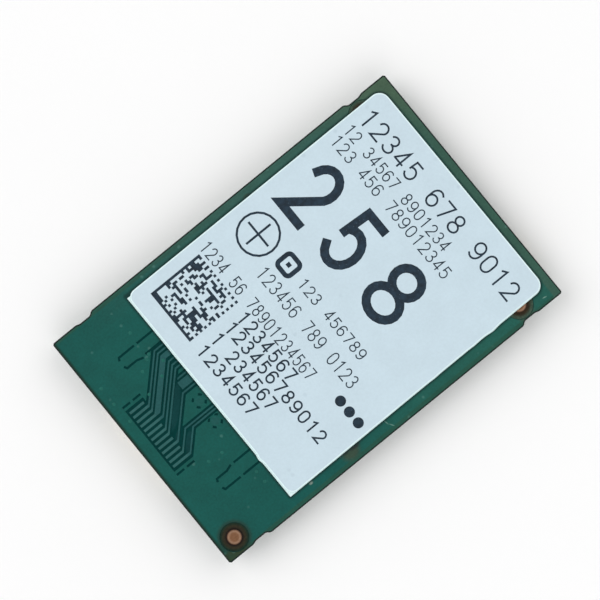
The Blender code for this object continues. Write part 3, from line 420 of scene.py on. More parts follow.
def ring_material():
    """The laminate laid bare round an alignment disc: brown resin, darkest beside the copper."""
    material = new_material("bare resin", 0.5, specular=0.2)
    tree = material.node_tree
    near = wash_outwards(tree, RESIN_TINT, RESIN_STEPS)
    far = wash_outwards(tree, FAR_RESIN_TINT, FAR_RESIN_STEPS)
    base = wash(tree, object_axes(tree)["X"], near, far, *HALVES_MEET)
    return finish_material(material, base, ((0.20, 0.25),), (0.10, 0.004))


def disc_material():
    """Bare copper, dulled by a thin film of oxide that is thicker at its rim."""
    material = new_material("dull copper", 0.50, metallic=0.25, specular=0.3)
    base = wash_outwards(material.node_tree, COPPER_TINT, COPPER_STEPS)
    return finish_material(material, base, ((0.16, 0.12),), (0.05, 0.003))


# The milled edge's layers: glass cloth, resin where the wave of layers is high, and painted shade in a dark
# band by the upper face
CLOTH_LAYER = 0.11 * MM
CLOTH_TINT = colour(22, 44, 30)
RESIN_LAYER = (colour(58, 74, 44), -0.6, 0.9)
UPPER_EDGE_SHADE = (colour(4, 26, 20), BOARD_HIGH.z - 0.18 * MM, BOARD_HIGH.z - 0.12 * MM)


def laminate_edge_material():
    """The milled edge of the laminate: glass cloth in resin, seen as thin level layers, with painted shade
    along its rounded upper edge.
    """
    material = new_material("milled laminate", 0.62, specular=0.25)
    tree = material.node_tree
    level = object_axes(tree)["Z"]
    waves = calculate(tree, "SINE", calculate(tree, "MULTIPLY", level, math.tau / CLOTH_LAYER))
    base = wash(tree, waves, CLOTH_TINT, *RESIN_LAYER)
    # Painted shade: the rounded edge by the upper face is darkened, so that it shows as a dark line round the
    # card.
    base = wash(tree, level, base, *UPPER_EDGE_SHADE)
    return finish_material(material, base, ((0.18, 0.25),), (0.06, 0.012))


def node_shape(node):
    """A CAD node's mesh with its loose triangles joined and its flat faces made whole."""
    shape = bmesh.new()
    shape.from_mesh(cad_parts[node].data)
    bmesh.ops.remove_doubles(shape, verts=shape.verts, dist=MERGE_DISTANCE)
    bmesh.ops.dissolve_limit(shape, angle_limit=FLAT_ANGLE, verts=shape.verts, edges=shape.edges)
    shape.normal_update()
    return shape


def round_off(shape, items, width, segments=2, affect="EDGES", clamp=True):
    """Rounds edges or corners, and gives back what that made."""
    return bmesh.ops.bevel(
        shape,
        geom=items,
        offset=width,
        offset_type="OFFSET",
        segments=segments,
        profile=0.5,
        affect=affect,
        clamp_overlap=clamp,
        material=-1,
    )


def new_object(name, shape, materials):
    """An object at the origin, made from a finished bmesh."""
    mesh = bpy.data.meshes.new(name)
    shape.to_mesh(mesh)
    shape.free()
    for material in materials:
        mesh.materials.append(material)
    made = bpy.data.objects.new(name, mesh)
    bpy.context.scene.collection.objects.link(made)
    return made


def add_piece(name, shape, materials, slot, *stands_for):
    """Makes a piece of the card from a finished bmesh."""
    piece = new_object(name, shape, materials)
    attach(piece, "root")
    if stands_for:
        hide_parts(*stands_for)
    return piece


def is_outer_wall(face):
    levels = [corner.co.z for corner in face.verts]
    return max(levels) - min(levels) > (BOARD_HIGH.z - BOARD_LOW.z) / 2


def is_level_face(face, drop):
    return face.normal.z > FACES_UP and abs(BOARD_HIGH.z - drop - face.calc_center_median().z) < LEVEL_SLACK


def spread_over_islands(shape):
    """The upper faces of the lands and tracks, found by spreading out from a spot on each."""
    seeds = [(LAND_MIDDLE, FIRST_LAND_ACROSS + i * LAND_PITCH) for i in range(FREE_LANDS)]
    seeds += GROUND_PAD_SPOTS
    limit = along(TRACKS_HIDDEN_FROM) + LEVEL_SLACK
    shown = {
        face
        for face in shape.faces
        if is_level_face(face, 0) and all(corner.co.x < limit for corner in face.verts)
    }
    waiting = []
    for a, c in seeds:
        point = Vector((along(a), across(c), BOARD_HIGH.z))
        waiting += [face for face in shown if bmesh.geometry.intersect_face_point(face, point)]
    found = set()
    while waiting:
        face = waiting.pop()
        if face not in found:
            found.add(face)
            neighbours = {other for edge in face.edges for other in edge.link_faces}
            waiting += [other for other in neighbours if other in shown]
    return found


def sort_board_faces(shape):
    """Gives each face of the board the number of its material."""
    islands = spread_over_islands(shape)
    for face in shape.faces:
        if is_outer_wall(face):
            face.material_index = MILLED
        elif face.normal.z < -FACES_UP:
            face.material_index = UNDERSIDE
        elif face in islands:
            face.material_index = TRACK
        elif is_level_face(face, DISC_DROP):
            face.material_index = DISC
        elif is_level_face(face, RING_DROP):
            face.material_index = RING
        elif not is_level_face(face, 0):
            face.material_index = ETCHED


def walls_of(edge):
    return [face for face in edge.link_faces if abs(face.normal.z) < FACES_SIDE]


def etched_rims(shape, beside):
    """The upper edges of the etched walls whose other side is a face of a given material."""
    rims = []
    for edge in shape.edges:
        walls = walls_of(edge)
        at_top = all(BOARD_HIGH.z - corner.co.z < LEVEL_SLACK for corner in edge.verts)
        if at_top and len(walls) == 1 and walls[0].material_index == ETCHED:
            if any(face.material_index == beside for face in edge.link_faces):
                rims.append(edge)
    return rims


def draw_back_tips(shape):
    """Draws back the tips of two relief marks that all but touch a gap, which gives its shoulder room."""
    for corner in shape.verts:
        near_marks = along(TIPS_FROM) < corner.co.x < along(TIPS_TO)
        if near_marks and across(TIPS_END) < corner.co.y < across(TIPS_LIMIT):
            corner.co.y = across(TIPS_END)


def move_near_disc(shape):
    """Moves the disc at the bare end, with its opening, to where the photograph shows it."""
    start, end = [Vector((along(a), across(c))) for a, c in (CAD_DISC_SPOT, DISC_SPOTS[0])]
    for corner in shape.verts:
        if corner.co.z > BOARD_LOW.z + LEVEL_SLACK and (corner.co.xy - start).length < OPENING_REACH:
            corner.co.xy += end - start


def build_board():
    shape = node_shape("circuit_board")
    draw_back_tips(shape)
    move_near_disc(shape)
    everything = list(shape.verts) + list(shape.edges) + list(shape.faces)
    bmesh.ops.bisect_plane(
        shape, geom=everything, plane_co=(along(TRACKS_HIDDEN_FROM), 0, 0), plane_no=(1, 0, 0)
    )
    sort_board_faces(shape)
    for beside, width in ((TRACK, TRACK_SHOULDER), (POUR, POUR_SHOULDER)):
        for face in round_off(shape, etched_rims(shape, beside), width, 1, clamp=False)["faces"]:
            face.material_index = ETCHED
    bmesh.ops.remove_doubles(shape, verts=shape.verts, dist=MERGE_DISTANCE)
    milled_rim = [
        edge for edge in shape.edges if [wall.material_index for wall in walls_of(edge)] == [MILLED]
    ]
    for face in round_off(shape, milled_rim, EDGE_ROUND)["faces"]:
        face.material_index = MILLED
    materials = [
        mask_material("mask over ground copper", MASK_TINT, marked_pour),
        mask_material("mask in an etched gap", ETCHED_TINT, marked_floor, 0.05),
        mask_material("mask over a track", TRACK_TINT, marked_lands, 0.12),
        ring_material(),
        disc_material(),
        laminate_edge_material(),
        mask_material("mask under the board", UNDERSIDE_TINT),
    ]
    add_piece("board", shape, materials, "solder_mask", "circuit_board")


build_board()


# Plated holes between the copper layers, each filled and lacquered over, so that it shows as a low dome.
# They tie the ground copper of the card's two faces together.
TENTED_HOLES = (
    (3.35, 6.60), (4.45, 6.50), (5.50, 3.05), (5.50, 3.95), (4.75, 17.05), (0.72, 15.30), (0.72, 13.90),
    (3.72, 14.40), (4.57, 13.30), (5.33, 14.10), (4.50, 14.87), (4.83, 15.07), (3.07, 12.87), (0.85, 12.25),
)
DOME_SPREAD = (0.13 * MM, 0.13 * MM)
DOME_HEIGHT = 0.014 * MM
DOME_SIDES, DOME_STEPS = 12, 6
DOME_TINT = colour(26, 96, 86)


def add_dome(shape, middle, spread, height):
    """A low dome on a level face, round or oval, with its other half sunk in what carries it."""
    size = Matrix.Diagonal((*spread, height, 1))
    place = Matrix.Translation(middle) @ size
    bmesh.ops.create_uvsphere(shape, u_segments=DOME_SIDES, v_segments=DOME_STEPS, radius=1.0, matrix=place)


def build_domes(name, finish, places):
    """Makes a piece of the domes at given places, under their lacquer."""
    shape = bmesh.new()
    for place in places:
        add_dome(shape, place, DOME_SPREAD, DOME_HEIGHT)
    for face in shape.faces:
        face.smooth = True
    add_piece(name, shape, [mask_material(finish, DOME_TINT)], "solder_mask")


hole_places = [(along(a), across(c), BOARD_HIGH.z) for a, c in TENTED_HOLES]
build_domes("tented_holes", "mask over a hole", hole_places)


# Label and the clear film under it: a die-cut polyester sheet stuck on a slightly larger film.
# The film shows as a pale strip at the label's left end. Both lie on the lacquer, held by their adhesive.
INK_THICKNESS = 0.004 * MM
LABEL_ROUND = 0.035 * MM
ROUND_LIMIT = 0.45
BRIGHT_RIM = 0.06 * MM
LEFT_CORNER = 0.65 * MM
SQUARE_CORNER = 0.03 * MM
CORNER_STEPS = 10
LONG_EDGE = 5 * MM
DEAD_LEVEL = 0.999
EDGE_CUTS = 140
# Each fault in a cut edge, in millimetres: where it lies, its reach along the edge, how far it stands out
LEFT_FAULTS = ((4.48, 0.42, 0.075), (13.9, 1.2, 0.015))
LOWER_FAULTS = ((24.50, 0.75, 0.065), (19.20, 0.50, 0.020), (22.80, 0.60, 0.020))
LABEL_TINT = colour(203, 222, 232)
LABEL_DUST = (colour(170, 188, 200), 0.70, 0.05, 0.25)
FILM_TINT = colour(226, 248, 248)
RIM_HIGHLIGHT_TINT = colour(226, 248, 250)


def add_rectangle(shape, middle, length, width, cells=1):
    """Adds a level rectangle of cells and gives back its corners."""
    size = Matrix.Diagonal((length, width, 1, 1))
    return bmesh.ops.create_grid(
        shape, x_segments=cells, y_segments=cells, size=0.5, matrix=Matrix.Translation(middle) @ size
    )["verts"]


def lift(shape, extruded, height):
    """Moves up what an extrusion made."""
    moved = [item for item in extruded["geom"] if isinstance(item, bmesh.types.BMVert)]
    bmesh.ops.translate(shape, verts=moved, vec=(0, 0, height))


def fault_depth(distance, reach, depth):
    """How far a fault stands out at a distance from its middle, as a smooth hump."""
    return depth * MM * (1 + math.cos(math.pi * min(abs(distance) / (reach * MM), 1.0))) / 2


def cut_sheet(low, high, top, left_corner, left_inset=0.0):
    """A thin sheet with round corners and the small faults of its cut edges."""
    shape = bmesh.new()
    middle = (low + high) / 2
    corners = add_rectangle(shape, (middle.x, middle.y, low.z), high.x - low.x, high.y - low.y)
    left = [corner for corner in corners if corner.co.x < middle.x]
    right = [corner for corner in corners if corner.co.x > middle.x]
    for ends, radius in ((left, left_corner), (right, SHEET_CORNER)):
        round_off(shape, ends, radius, CORNER_STEPS, "VERTICES", False)
    long_edges = [edge for edge in shape.edges if edge.calc_length() > LONG_EDGE]
    bmesh.ops.subdivide_edges(shape, edges=long_edges, cuts=EDGE_CUTS)
    for corner in shape.verts:
        if corner.co.x < low.x + LEVEL_SLACK:
            for place, *fault in LEFT_FAULTS:
                corner.co.x -= fault_depth(corner.co.y - across(place), *fault)
        if corner.co.y < low.y + LEVEL_SLACK:
            for place, *fault in LOWER_FAULTS:
                corner.co.y -= fault_depth(corner.co.x - along(place), *fault)
        from_right = (high.x - corner.co.x) / (high.x - low.x)
        from_top = (high.y - corner.co.y) / (high.y - low.y)
        corner.co.y += from_top * (LOWER_INSET + LOWER_LEAN * (corner.co.x - low.x))
        corner.co.x += from_right * (left_inset + from_top * LEFT_LEAN)
        corner.co.x -= (1 - from_right) * (1 - from_top) * RIGHT_LEAN
    lift(shape, bmesh.ops.extrude_face_region(shape, geom=list(shape.faces)), top - low.z)
    bmesh.ops.recalc_face_normals(shape, faces=shape.faces)
    shape.normal_update()
    rim = [edge for edge in shape.edges if all(corner.co.z > top - LEVEL_SLACK for corner in edge.verts)]
    round_off(shape, rim, min(LABEL_ROUND, (top - low.z) * ROUND_LIMIT), 3)
    shape.normal_update()
    for face in shape.faces:
        face.smooth = abs(face.normal.z) < DEAD_LEVEL
    return shape


def label_material():
    """Matt white polyester with a faint blue cast, its surface a little uneven."""
    material = new_material("matt label", 0.55, specular=0.3)
    return finish_material(material, LABEL_TINT, ((2.20, 0.02), (0.22, 0.018)), (0.09, 0.0012), LABEL_DUST)


def film_material(name, tint):
    """Clear film over white adhesive, or a pale painted highlight along the label's rounded rim."""
    return finish_material(new_material(name, 0.30), tint, ((0.40, 0.03),), (0.15, 0.002))


def build_label():
    shape = cut_sheet(FILM_LOW, FILM_HIGH, FILM_HIGH.z, SQUARE_CORNER, FILM_INSET)
    add_piece("clear_film", shape, [film_material("clear film", FILM_TINT)], "clear_film", "label_film")
    shape = cut_sheet(LABEL_LOW, LABEL_HIGH, LABEL_HIGH.z - INK_THICKNESS, LEFT_CORNER)
    printed = max(shape.faces, key=lambda face: face.calc_area() * face.normal.z)
    # The band round the printed face, with the rounded rim, takes a pale painted highlight.
    bmesh.ops.inset_region(shape, faces=[printed], thickness=BRIGHT_RIM)
    printed.material_index = 1
    edge = film_material("painted highlight on the label's rim", RIM_HIGHLIGHT_TINT)
    add_piece("printed_label", shape, [edge, label_material()], "label_stock", "label")


build_label()


# Print on the label: black transfer ink, a few thousandths of a millimetre thick, laid on by a hot ribbon.
# It is lines of plain counting figures, three bold ones, a field of small squares and a few plain marks.
# The lines run down the card, with the tops of the figures towards its far end.
PRINT_FLOOR = LABEL_HIGH.z - INK_THICKNESS
INK_TINT = colour(28, 46, 60)
THIN_INK = (colour(104, 122, 134), 0.14, 0.22, 0.35)
TITLE_STROKE = 0.135
LINE_STROKE = 0.085
BATCH_STROKE = 0.127
BOLD_STROKE = 0.64
RING_STROKE = 0.16
# Each line of figures: lowest and highest place along the card, first and last place across it, its groups
TITLE_LINES = ((26.50, 27.95, 18.55, 2.05, (5, 3, 4)),)
SMALL_LINES = (
    (25.20, 26.12, 18.60, 7.60, (2, 5, 7)),
    (24.00, 24.95, 18.60, 6.10, (3, 3, 9)),
    (15.90, 16.76, 12.30, 5.40, (3, 6)),
    (14.10, 15.14, 14.70, 4.30, (6, 3, 4)),
    (12.20, 13.17, 18.60, 6.60, (4, 2, 11)),
)
BATCH_LINES = (
    (11.08, 12.10, 13.15, 7.35, (7,)),
    (9.98, 11.00, 13.15, 2.70, (12,)),
    (8.74, 9.77, 13.15, 6.70, (1, 6)),
    (7.46, 8.46, 13.15, 7.24, (7,)),
)
# Each bold figure: lowest and highest place along the card, first and last place across it
BOLD_FIGURES = (
    ("2", 18.35, 23.30, 17.90, 15.10),
    ("5", 18.35, 23.30, 13.60, 10.80),
    ("8", 18.35, 23.30, 9.10, 5.90),
)
FIGURE_SHARE = 0.76
ARC_STEP = 18


def arc(x, y, wide, tall, start, end):
    """Points on an oval arc between two angles in degrees."""
    count = max(round(abs(end - start) / ARC_STEP), 2)
    turns = [math.radians(start + (end - start) * i / count) for i in range(count + 1)]
    return [(x + wide * math.cos(turn), y + tall * math.sin(turn)) for turn in turns]


def loop(x, y, wide, tall):
    """Points round an oval, the last of which is the first again."""
    points = arc(x, y, wide, tall, 0, 360)
    return points[:-1] + points[:1]


# The middle line of each figure's strokes, in a cell that is one wide and one high
FIGURES = {
    "0": [arc(0.5, 0.66, 0.5, 0.34, 0, 180) + arc(0.5, 0.34, 0.5, 0.34, 180, 360) + [(1.0, 0.66)]],
    "1": [[(0.22, 0.84), (0.58, 1.0), (0.58, 0.0)]],
    "2": [arc(0.5, 0.71, 0.48, 0.29, 165, -32) + [(0.03, 0.0), (0.97, 0.0)]],
    "3": [arc(0.47, 0.76, 0.43, 0.24, 150, -85), arc(0.49, 0.26, 0.50, 0.26, 88, -155)],
    "4": [[(0.05, 0.31), (0.74, 1.0), (0.74, 0.04)], [(0.0, 0.25), (0.96, 0.25)]],
    "5": [[(0.88, 1.0), (0.16, 1.0), (0.10, 0.52)], arc(0.47, 0.33, 0.53, 0.33, 125, -148)],
    "6": [loop(0.5, 0.31, 0.5, 0.31), arc(0.56, 0.60, 0.56, 0.40, 50, 176) + [(0.0, 0.34)]],
    "7": [[(0.04, 1.0), (0.98, 1.0), (0.38, 0.04)]],
    "8": [loop(0.5, 0.26, 0.5, 0.26), loop(0.5, 0.76, 0.42, 0.24)],
    "9": [loop(0.5, 0.69, 0.5, 0.31), arc(0.44, 0.40, 0.56, 0.40, 230, 356) + [(1.0, 0.66)]],
}
STROKE_STEP = 0.15


def counting(groups):
    """Figures in counting order, in groups."""
    order = iter(i % 10 for i in range(1, 100))
    return " ".join("".join(str(next(order)) for _ in range(size)) for size in groups)


def draw_stroke(shape, points, layer=0):
    """Adds the wall along a stroke's middle line, from points along and across the card.

    A stroke that crosses another lies in a later layer, which is a little thinner, so that no two tops meet.
    """
    closed = points[0] == points[-1]
    places = points[:-1] if closed else points
    corners = [shape.verts.new((along(a), across(c), PRINT_FLOOR)) for a, c in places]
    following = corners[1:] + corners[:1] if closed else corners[1:]
    edges = [shape.edges.new(pair) for pair in zip(corners, following)]
    height = INK_THICKNESS * (1 - STROKE_STEP * layer)
    lift(shape, bmesh.ops.extrude_edge_only(shape, edges=edges), height)


def lengthen(points, reach):
    """An open stroke's points, with its two ends moved on by a reach."""
    longer = [Vector(point) for point in points]
    if points[0] != points[-1]:
        start = (longer[0] - longer[1]).normalized() * reach
        end = (longer[-1] - longer[-2]).normalized() * reach
        longer[0] += start
        longer[-1] += end
    return [tuple(point) for point in longer]


def draw_figure(shape, figure, low, high, first, last, stroke):
    """Adds a figure whose ink reaches from low to high along the card, and from first to last across it."""
    bottom = low + stroke / 2
    left = first - stroke / 2
    tall = high - low - stroke
    wide = first - last - stroke
    for layer, path in enumerate(FIGURES[figure]):
        points = [(bottom + y * tall, left - x * wide) for x, y in path]
        draw_stroke(shape, lengthen(points, stroke / 2), layer)


def draw_line(shape, low, high, first, last, groups, stroke):
    words = counting(groups)
    pitch = (first - last) / (len(words) - 1 + FIGURE_SHARE)
    for i, figure in enumerate(words):
        if figure != " ":
            start = first - i * pitch
            draw_figure(shape, figure, low, high, start, start - pitch * FIGURE_SHARE, stroke)


def ink_material():
    """Black transfer ink with a blue cast, thinner and greyer where it took badly."""
    material = new_material("transfer ink", 0.5, specular=0.3)
    return finish_material(material, INK_TINT, ((0.35, 0.35),), (0.08, 0.0015), THIN_INK)


INK = ink_material()


def add_strokes(name, shape, stroke):
    """Makes a piece of the print, its strokes given their width."""
    piece = add_piece(name, shape, [INK], "label_stock")
    widen = piece.modifiers.new("stroke", "SOLIDIFY")
    widen.thickness = stroke * MM
    widen.offset = 0
    widen.use_even_offset = True


DISC_SIDES = 32
CODE_LOW, CODE_HIGH = 7.60, 11.97
CODE_FIRST, CODE_LAST = 18.27, 13.92
CODE_MODULES = 22
CODE_SEED = 7
CODE_CORNER_SHARE = 0.06
CODE_INKED_SHARE = 0.38


def blank_cells():
    """The cells of the printed field that get no ink, as row and column."""
    chance = random.Random(CODE_SEED)
    last = CODE_MODULES - 1
    blank = set()
    for i in range(CODE_MODULES):
        for j in range(CODE_MODULES):
            inked = chance.random() < CODE_INKED_SHARE
            if i == 0 or j == 0:
                inked = True
            elif i == last or j == last:
                inked = (i + j) % 2 == 0
            if not inked:
                blank.add((i, j))
    return blank


def part_corners(shape):
    """Draws back the corners of two cells that meet at that corner alone, so that they don't touch."""
    for corner in list(shape.verts):
        cells = list(corner.link_faces)
        if len(cells) == 2 and not set(cells[0].edges) & set(cells[1].edges):
            for cell in cells:
                own = bmesh.utils.face_vert_separate(cell, corner)
                own.co += (cell.calc_center_median() - own.co) * CODE_CORNER_SHARE


def print_code():
    """A field of small squares set by chance, with two solid sides and two broken ones."""
    shape = bmesh.new()
    low, first = along(CODE_LOW), across(CODE_FIRST)
    length, width = (CODE_HIGH - CODE_LOW) * MM, (CODE_FIRST - CODE_LAST) * MM
    middle = (low + length / 2, first - width / 2, PRINT_FLOOR)
    add_rectangle(shape, middle, length, width, CODE_MODULES)
    blank = blank_cells()
    without_ink = []
    for cell in shape.faces:
        place = cell.calc_center_median()
        i = int((place.x - low) / length * CODE_MODULES)
        j = int((first - place.y) / width * CODE_MODULES)
        if (i, j) in blank:
            without_ink.append(cell)
    bmesh.ops.delete(shape, geom=without_ink, context="FACES")
    part_corners(shape)
    lift(shape, bmesh.ops.extrude_face_region(shape, geom=list(shape.faces)), INK_THICKNESS)
    bmesh.ops.recalc_face_normals(shape, faces=shape.faces)
    add_piece("print_code", shape, [INK], "label_stock")


def add_disc(shape, middle, radius, thickness):
    bmesh.ops.create_cone(
        shape,
        cap_ends=True,
        segments=DISC_SIDES,
        radius1=radius,
        radius2=radius,
        depth=thickness,
        matrix=Matrix.Translation(middle),
    )


MARK_SQUARE = (16.36, 13.72)
MARK_SQUARE_HALF = 0.64
MARK_SQUARE_CORNER = 0.30
MARK_SQUARE_STROKE = 0.34
MARK_SQUARE_DOT = 0.16
MARK_RING = (16.07, 16.73)
MARK_RING_RADIUS = 1.52
MARK_CROSS = 1.10
DOTS_ALONG = 13.15
DOTS_ACROSS = (2.10, 3.08, 4.06)
DOT_RADIUS = 0.39


def print_marks():
    """Plain marks beside the lines: a ring with a cross, a square with round corners, and three dots."""
    shape = bmesh.new()
    a, c = MARK_RING
    draw_stroke(shape, loop(a, c, MARK_RING_RADIUS, MARK_RING_RADIUS))
    draw_stroke(shape, [(a - MARK_CROSS, c), (a + MARK_CROSS, c)])
    draw_stroke(shape, [(a, c - MARK_CROSS), (a, c + MARK_CROSS)], 1)
    add_strokes("print_ring", shape, RING_STROKE)
    shape = bmesh.new()
    a, c = MARK_SQUARE
    inner = MARK_SQUARE_HALF - MARK_SQUARE_CORNER
    outline = []
    for start, along_side, across_side in ((0, 1, 1), (90, -1, 1), (180, -1, -1), (270, 1, -1)):
        corner = (a + along_side * inner, c + across_side * inner)
        outline += arc(*corner, MARK_SQUARE_CORNER, MARK_SQUARE_CORNER, start, start + 90)
    draw_stroke(shape, outline + outline[:1])
    draw_stroke(shape, [(a - MARK_SQUARE_DOT, c), (a + MARK_SQUARE_DOT, c)])
    add_strokes("print_square", shape, MARK_SQUARE_STROKE)
    shape = bmesh.new()
    for middle in DOTS_ACROSS:
        place = (along(DOTS_ALONG), across(middle), PRINT_FLOOR + INK_THICKNESS / 2)
        add_disc(shape, place, DOT_RADIUS * MM, INK_THICKNESS)
    add_piece("print_dots", shape, [INK], "label_stock")


for piece, draw, items, stroke in (
    ("print_title", draw_line, TITLE_LINES, TITLE_STROKE),
    ("print_small_lines", draw_line, SMALL_LINES, LINE_STROKE),
    ("print_batch_lines", draw_line, BATCH_LINES, BATCH_STROKE),
    ("print_bold_figures", draw_figure, BOLD_FIGURES, BOLD_STROKE),
):
    printed = bmesh.new()
    for item in items:
        draw(printed, *item, stroke)
    add_strokes(piece, printed, stroke)
print_marks()
print_code()


# Shield can: a fence of tinned steel sheet soldered to the board, and a drawn lid snapped over it.
# Dimples in the lid's skirt catch in holes in the fence. Both were punched from bright rolled strip.
TIN_TINT = (0.70, 0.70, 0.68, 1.0)
SMOOTH_BELOW = math.radians(50)
FLAT_ABOVE = 0.3 * MM * MM
STREAK_LENGTH = 6.0 * MM
STREAK_SHADE = 0.72
STREAK_WASH = (0.35, 0.75, 0.22)
STREAK_ROUGHER = 0.05
STREAK_SMOOTHER = 0.04
SCUFF_SIZE = 1.10 * MM
SCUFFS = (0.5, 0.75, 0.0, 0.07)


def metal_material(name, tint, roughness, streak, grain_depth):
    """Plated sheet: streaks along the rolling direction, small scuffs and a soft grain."""
    material = new_material(name, roughness, metallic=1.0)
    tree = material.node_tree
    narrow = 1 / (streak * MM)
    given = {"Vector": object_place(tree), "Scale": (1 / STREAK_LENGTH, narrow, narrow)}
    stretched = add_node(tree, "Mapping", given).outputs["Vector"]
    streaks = add_node(tree, "TexNoise", {"Vector": stretched, "Scale": 1.0, "Detail": 3.0}).outputs["Fac"]
    base = use_group(tree, MOTTLE, colour=tint, size=1.40 * MM, strength=0.05)
    darker = (*[channel * STREAK_SHADE for channel in tint[:3]], 1.0)
    base = wash(tree, streaks, base, darker, *STREAK_WASH)
    smooth, rough = roughness - STREAK_SMOOTHER, roughness + STREAK_ROUGHER
    rolled = ramp(tree, streaks, *NOISE_SPAN, smooth, rough)
    scuffed = ramp(tree, scaled_noise(tree, SCUFF_SIZE, 5.0), *SCUFFS)
    tree.links.new(calculate(tree, "ADD", rolled, scuffed), shader_inputs(material)["Roughness"])
    return finish_material(material, base, (), (0.10, grain_depth))


def dress_node(node, piece, material, slot):
    """A CAD node's own shape, shaded smooth where it is round, with its large faces left flat."""
    shape = node_shape(node)
    for edge in shape.edges:
        edge.smooth = len(edge.link_faces) == 2 and edge.calc_face_angle() < SMOOTH_BELOW
    for face in shape.faces:
        face.smooth = face.calc_area() < FLAT_ABOVE
    add_piece(piece, shape, [material], slot, node)


TIN = metal_material("tinned sheet", TIN_TINT, 0.30, 0.05, 0.0010)
dress_node("shield_frame", "shield_fence", TIN, "tinned_sheet")
dress_node("shield_lid", "shield_cover", TIN, "tinned_sheet")


# Board-to-board socket: a moulding of pale liquid-crystal polymer with two rows of stamped, gilt contacts.
# A gilt nail at each end is soldered down too, so that the socket isn't torn off with the plug.
MOULDING_TINT = colour(222, 212, 186)
GOLD_TINT = (0.86, 0.62, 0.27, 1.0)


def moulding_material(name, tint, roughness):
    """Moulded plastic: a fine matt skin with faint flow marks."""
    return finish_material(new_material(name, roughness), tint, ((1.20, 0.04), (0.12, 0.05)), (0.06, 0.004))


MOULDING = moulding_material("pale moulding", MOULDING_TINT, 0.5)
GOLD = metal_material("gold plate", GOLD_TINT, 0.24, 0.03, 0.0006)


def finish_node(node, material):
    """Gives a CAD node that stays as it is its finish."""
    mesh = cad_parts[node].data
    mesh.materials.clear()
    mesh.materials.append(material)


dress_node("connector_housing", "socket_housing", MOULDING, "socket_moulding")
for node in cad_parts:
    if node.startswith(("contact_", "connector_nail")):
        finish_node(node, GOLD)


# Antenna receptacle: a turned and gilt shell on a square moulding, with a gilt pin in its middle.
# Two tabs of the shell reach down the moulding's sides to the board.
dress_node("receptacle_shell", "receptacle_ring", GOLD, "gold_plate")
dress_node("receptacle_base", "receptacle_foot", MOULDING, "socket_moulding")
finish_node("receptacle_pin", GOLD)


# Parts soldered under the board: moulded chips, a crystal, inductors, a filter, capacitors and resistors.
# Most lie under the shield. Their bodies are moulded epoxy, fired ceramic or pressed ferrite.
CHIP_TINT = colour(38, 38, 40)
CERAMIC_TINT = colour(152, 116, 84)
FERRITE_TINT = colour(70, 70, 72)
CHIP = moulding_material("black epoxy", CHIP_TINT, 0.55)
CERAMIC = moulding_material("fired ceramic", CERAMIC_TINT, 0.45)
FERRITE = moulding_material("pressed ferrite", FERRITE_TINT, 0.65)
TERMINAL = 0.25 * MM
TERMINAL_BLUR = 0.01 * MM
BODY_ROUGHNESS, TERMINAL_ROUGHNESS = 0.50, 0.32


def long_axis(low, high):
    """Whether a box is longer along the card, 0, or across it, 1."""
    return 0 if high.x - low.x > high.y - low.y else 1


def two_ended_material(node, tint):
    """A chip part's body, with a tinned terminal at each of its two ends."""
    material = new_material(f"body of {node}", 0.45)
    tree, shader = material.node_tree, shader_inputs(material)
    low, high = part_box(node)
    axis = long_axis(low, high)
    beyond = calculate(tree, "SUBTRACT", object_axes(tree)[axis], (low[axis] + high[axis]) / 2)
    start = (high[axis] - low[axis]) / 2 - TERMINAL
    from_middle = calculate(tree, "ABSOLUTE", beyond)
    at_end = ramp(tree, from_middle, start - TERMINAL_BLUR, start + TERMINAL_BLUR)
    tree.links.new(at_end, shader["Metallic"])
    rough = ramp(tree, at_end, 0, 1, BODY_ROUGHNESS, TERMINAL_ROUGHNESS)
    tree.links.new(rough, shader["Roughness"])
    base = blend_colours(tree, at_end, tint, TIN_TINT)
    return finish_material(material, base, ((0.20, 0.08),), (0.05, 0.003))


for material, nodes in (
    (CHIP, ("wireless_chip", "memory_chip", "front_end_chip")),
    (CERAMIC, ("band_filter", "crystal_base")),
    (FERRITE, ("inductor_lower", "inductor_upper")),
    (TIN, ("crystal_lid",)),
):
    for node in nodes:
        finish_node(node, material)
for kind, tint in (("capacitor_", CERAMIC_TINT), ("resistor_", CHIP_TINT)):
    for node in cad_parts:
        if node.startswith(kind):
            finish_node(node, two_ended_material(node, tint))


# Lands and solder under the board: tinned copper left free of the mask, with the solder that holds each foot.
# A land of its own runs round under the shield's fence, and gilt test lands lie where nothing is mounted.
SOLDER_TINT = (0.62, 0.63, 0.64, 1.0)
LAND_THICKNESS = 0.014 * MM
UNDER = BOARD_LOW.z
CONTACT_FOOT = 0.28 * MM
NAIL_FOOT = 0.30 * MM
RECEPTACLE_TAB = 0.28 * MM
LAND_MARGIN = 0.10 * MM
LAND_SIDE_MARGIN = 0.02 * MM
SOLDER_SHARE = 0.9
SOLDER_HEIGHT = 0.09 * MM
FENCE_CORNER = 0.60 * MM
FENCE_CORNER_STEPS = 6
# The fence's land and solder in section, in millimetres: how far in from the fence, how far under the board
FENCE_PROFILE = (
    (-0.24, 0.0), (-0.24, 0.014), (-0.13, 0.024), (-0.039, 0.064), (0.01, 0.16), (0.05, 0.16), (0.05, 0.0),
)
TEST_LAND_RADIUS = 0.40 * MM
TEST_LANDS = (
    (13.10, 7.60), (13.10, 6.10), (13.10, 4.60), (13.10, 3.10), (13.10, 1.60), (13.10, 0.10),
    (-13.20, 7.40), (-11.40, 7.40), (-13.20, -7.10), (-11.40, -7.10), (-9.90, 8.20), (-9.90, -8.00),
)
STITCH_PITCH = 1.25 * MM
STITCH_FROM_EDGE = 0.55 * MM
SOLDER = metal_material("solder", SOLDER_TINT, 0.28, 0.20, 0.0015)


def end_strip(box, axis, out, depth):
    """The strip at one end of a box, as two corners, and the direction in which that end points."""
    first, last = box[0].xy, box[1].xy
    if out > 0:
        first[axis] = last[axis] - depth
    else:
        last[axis] = first[axis] + depth
    direction = Vector((0, 0))
    direction[axis] = out
    return first, last, direction


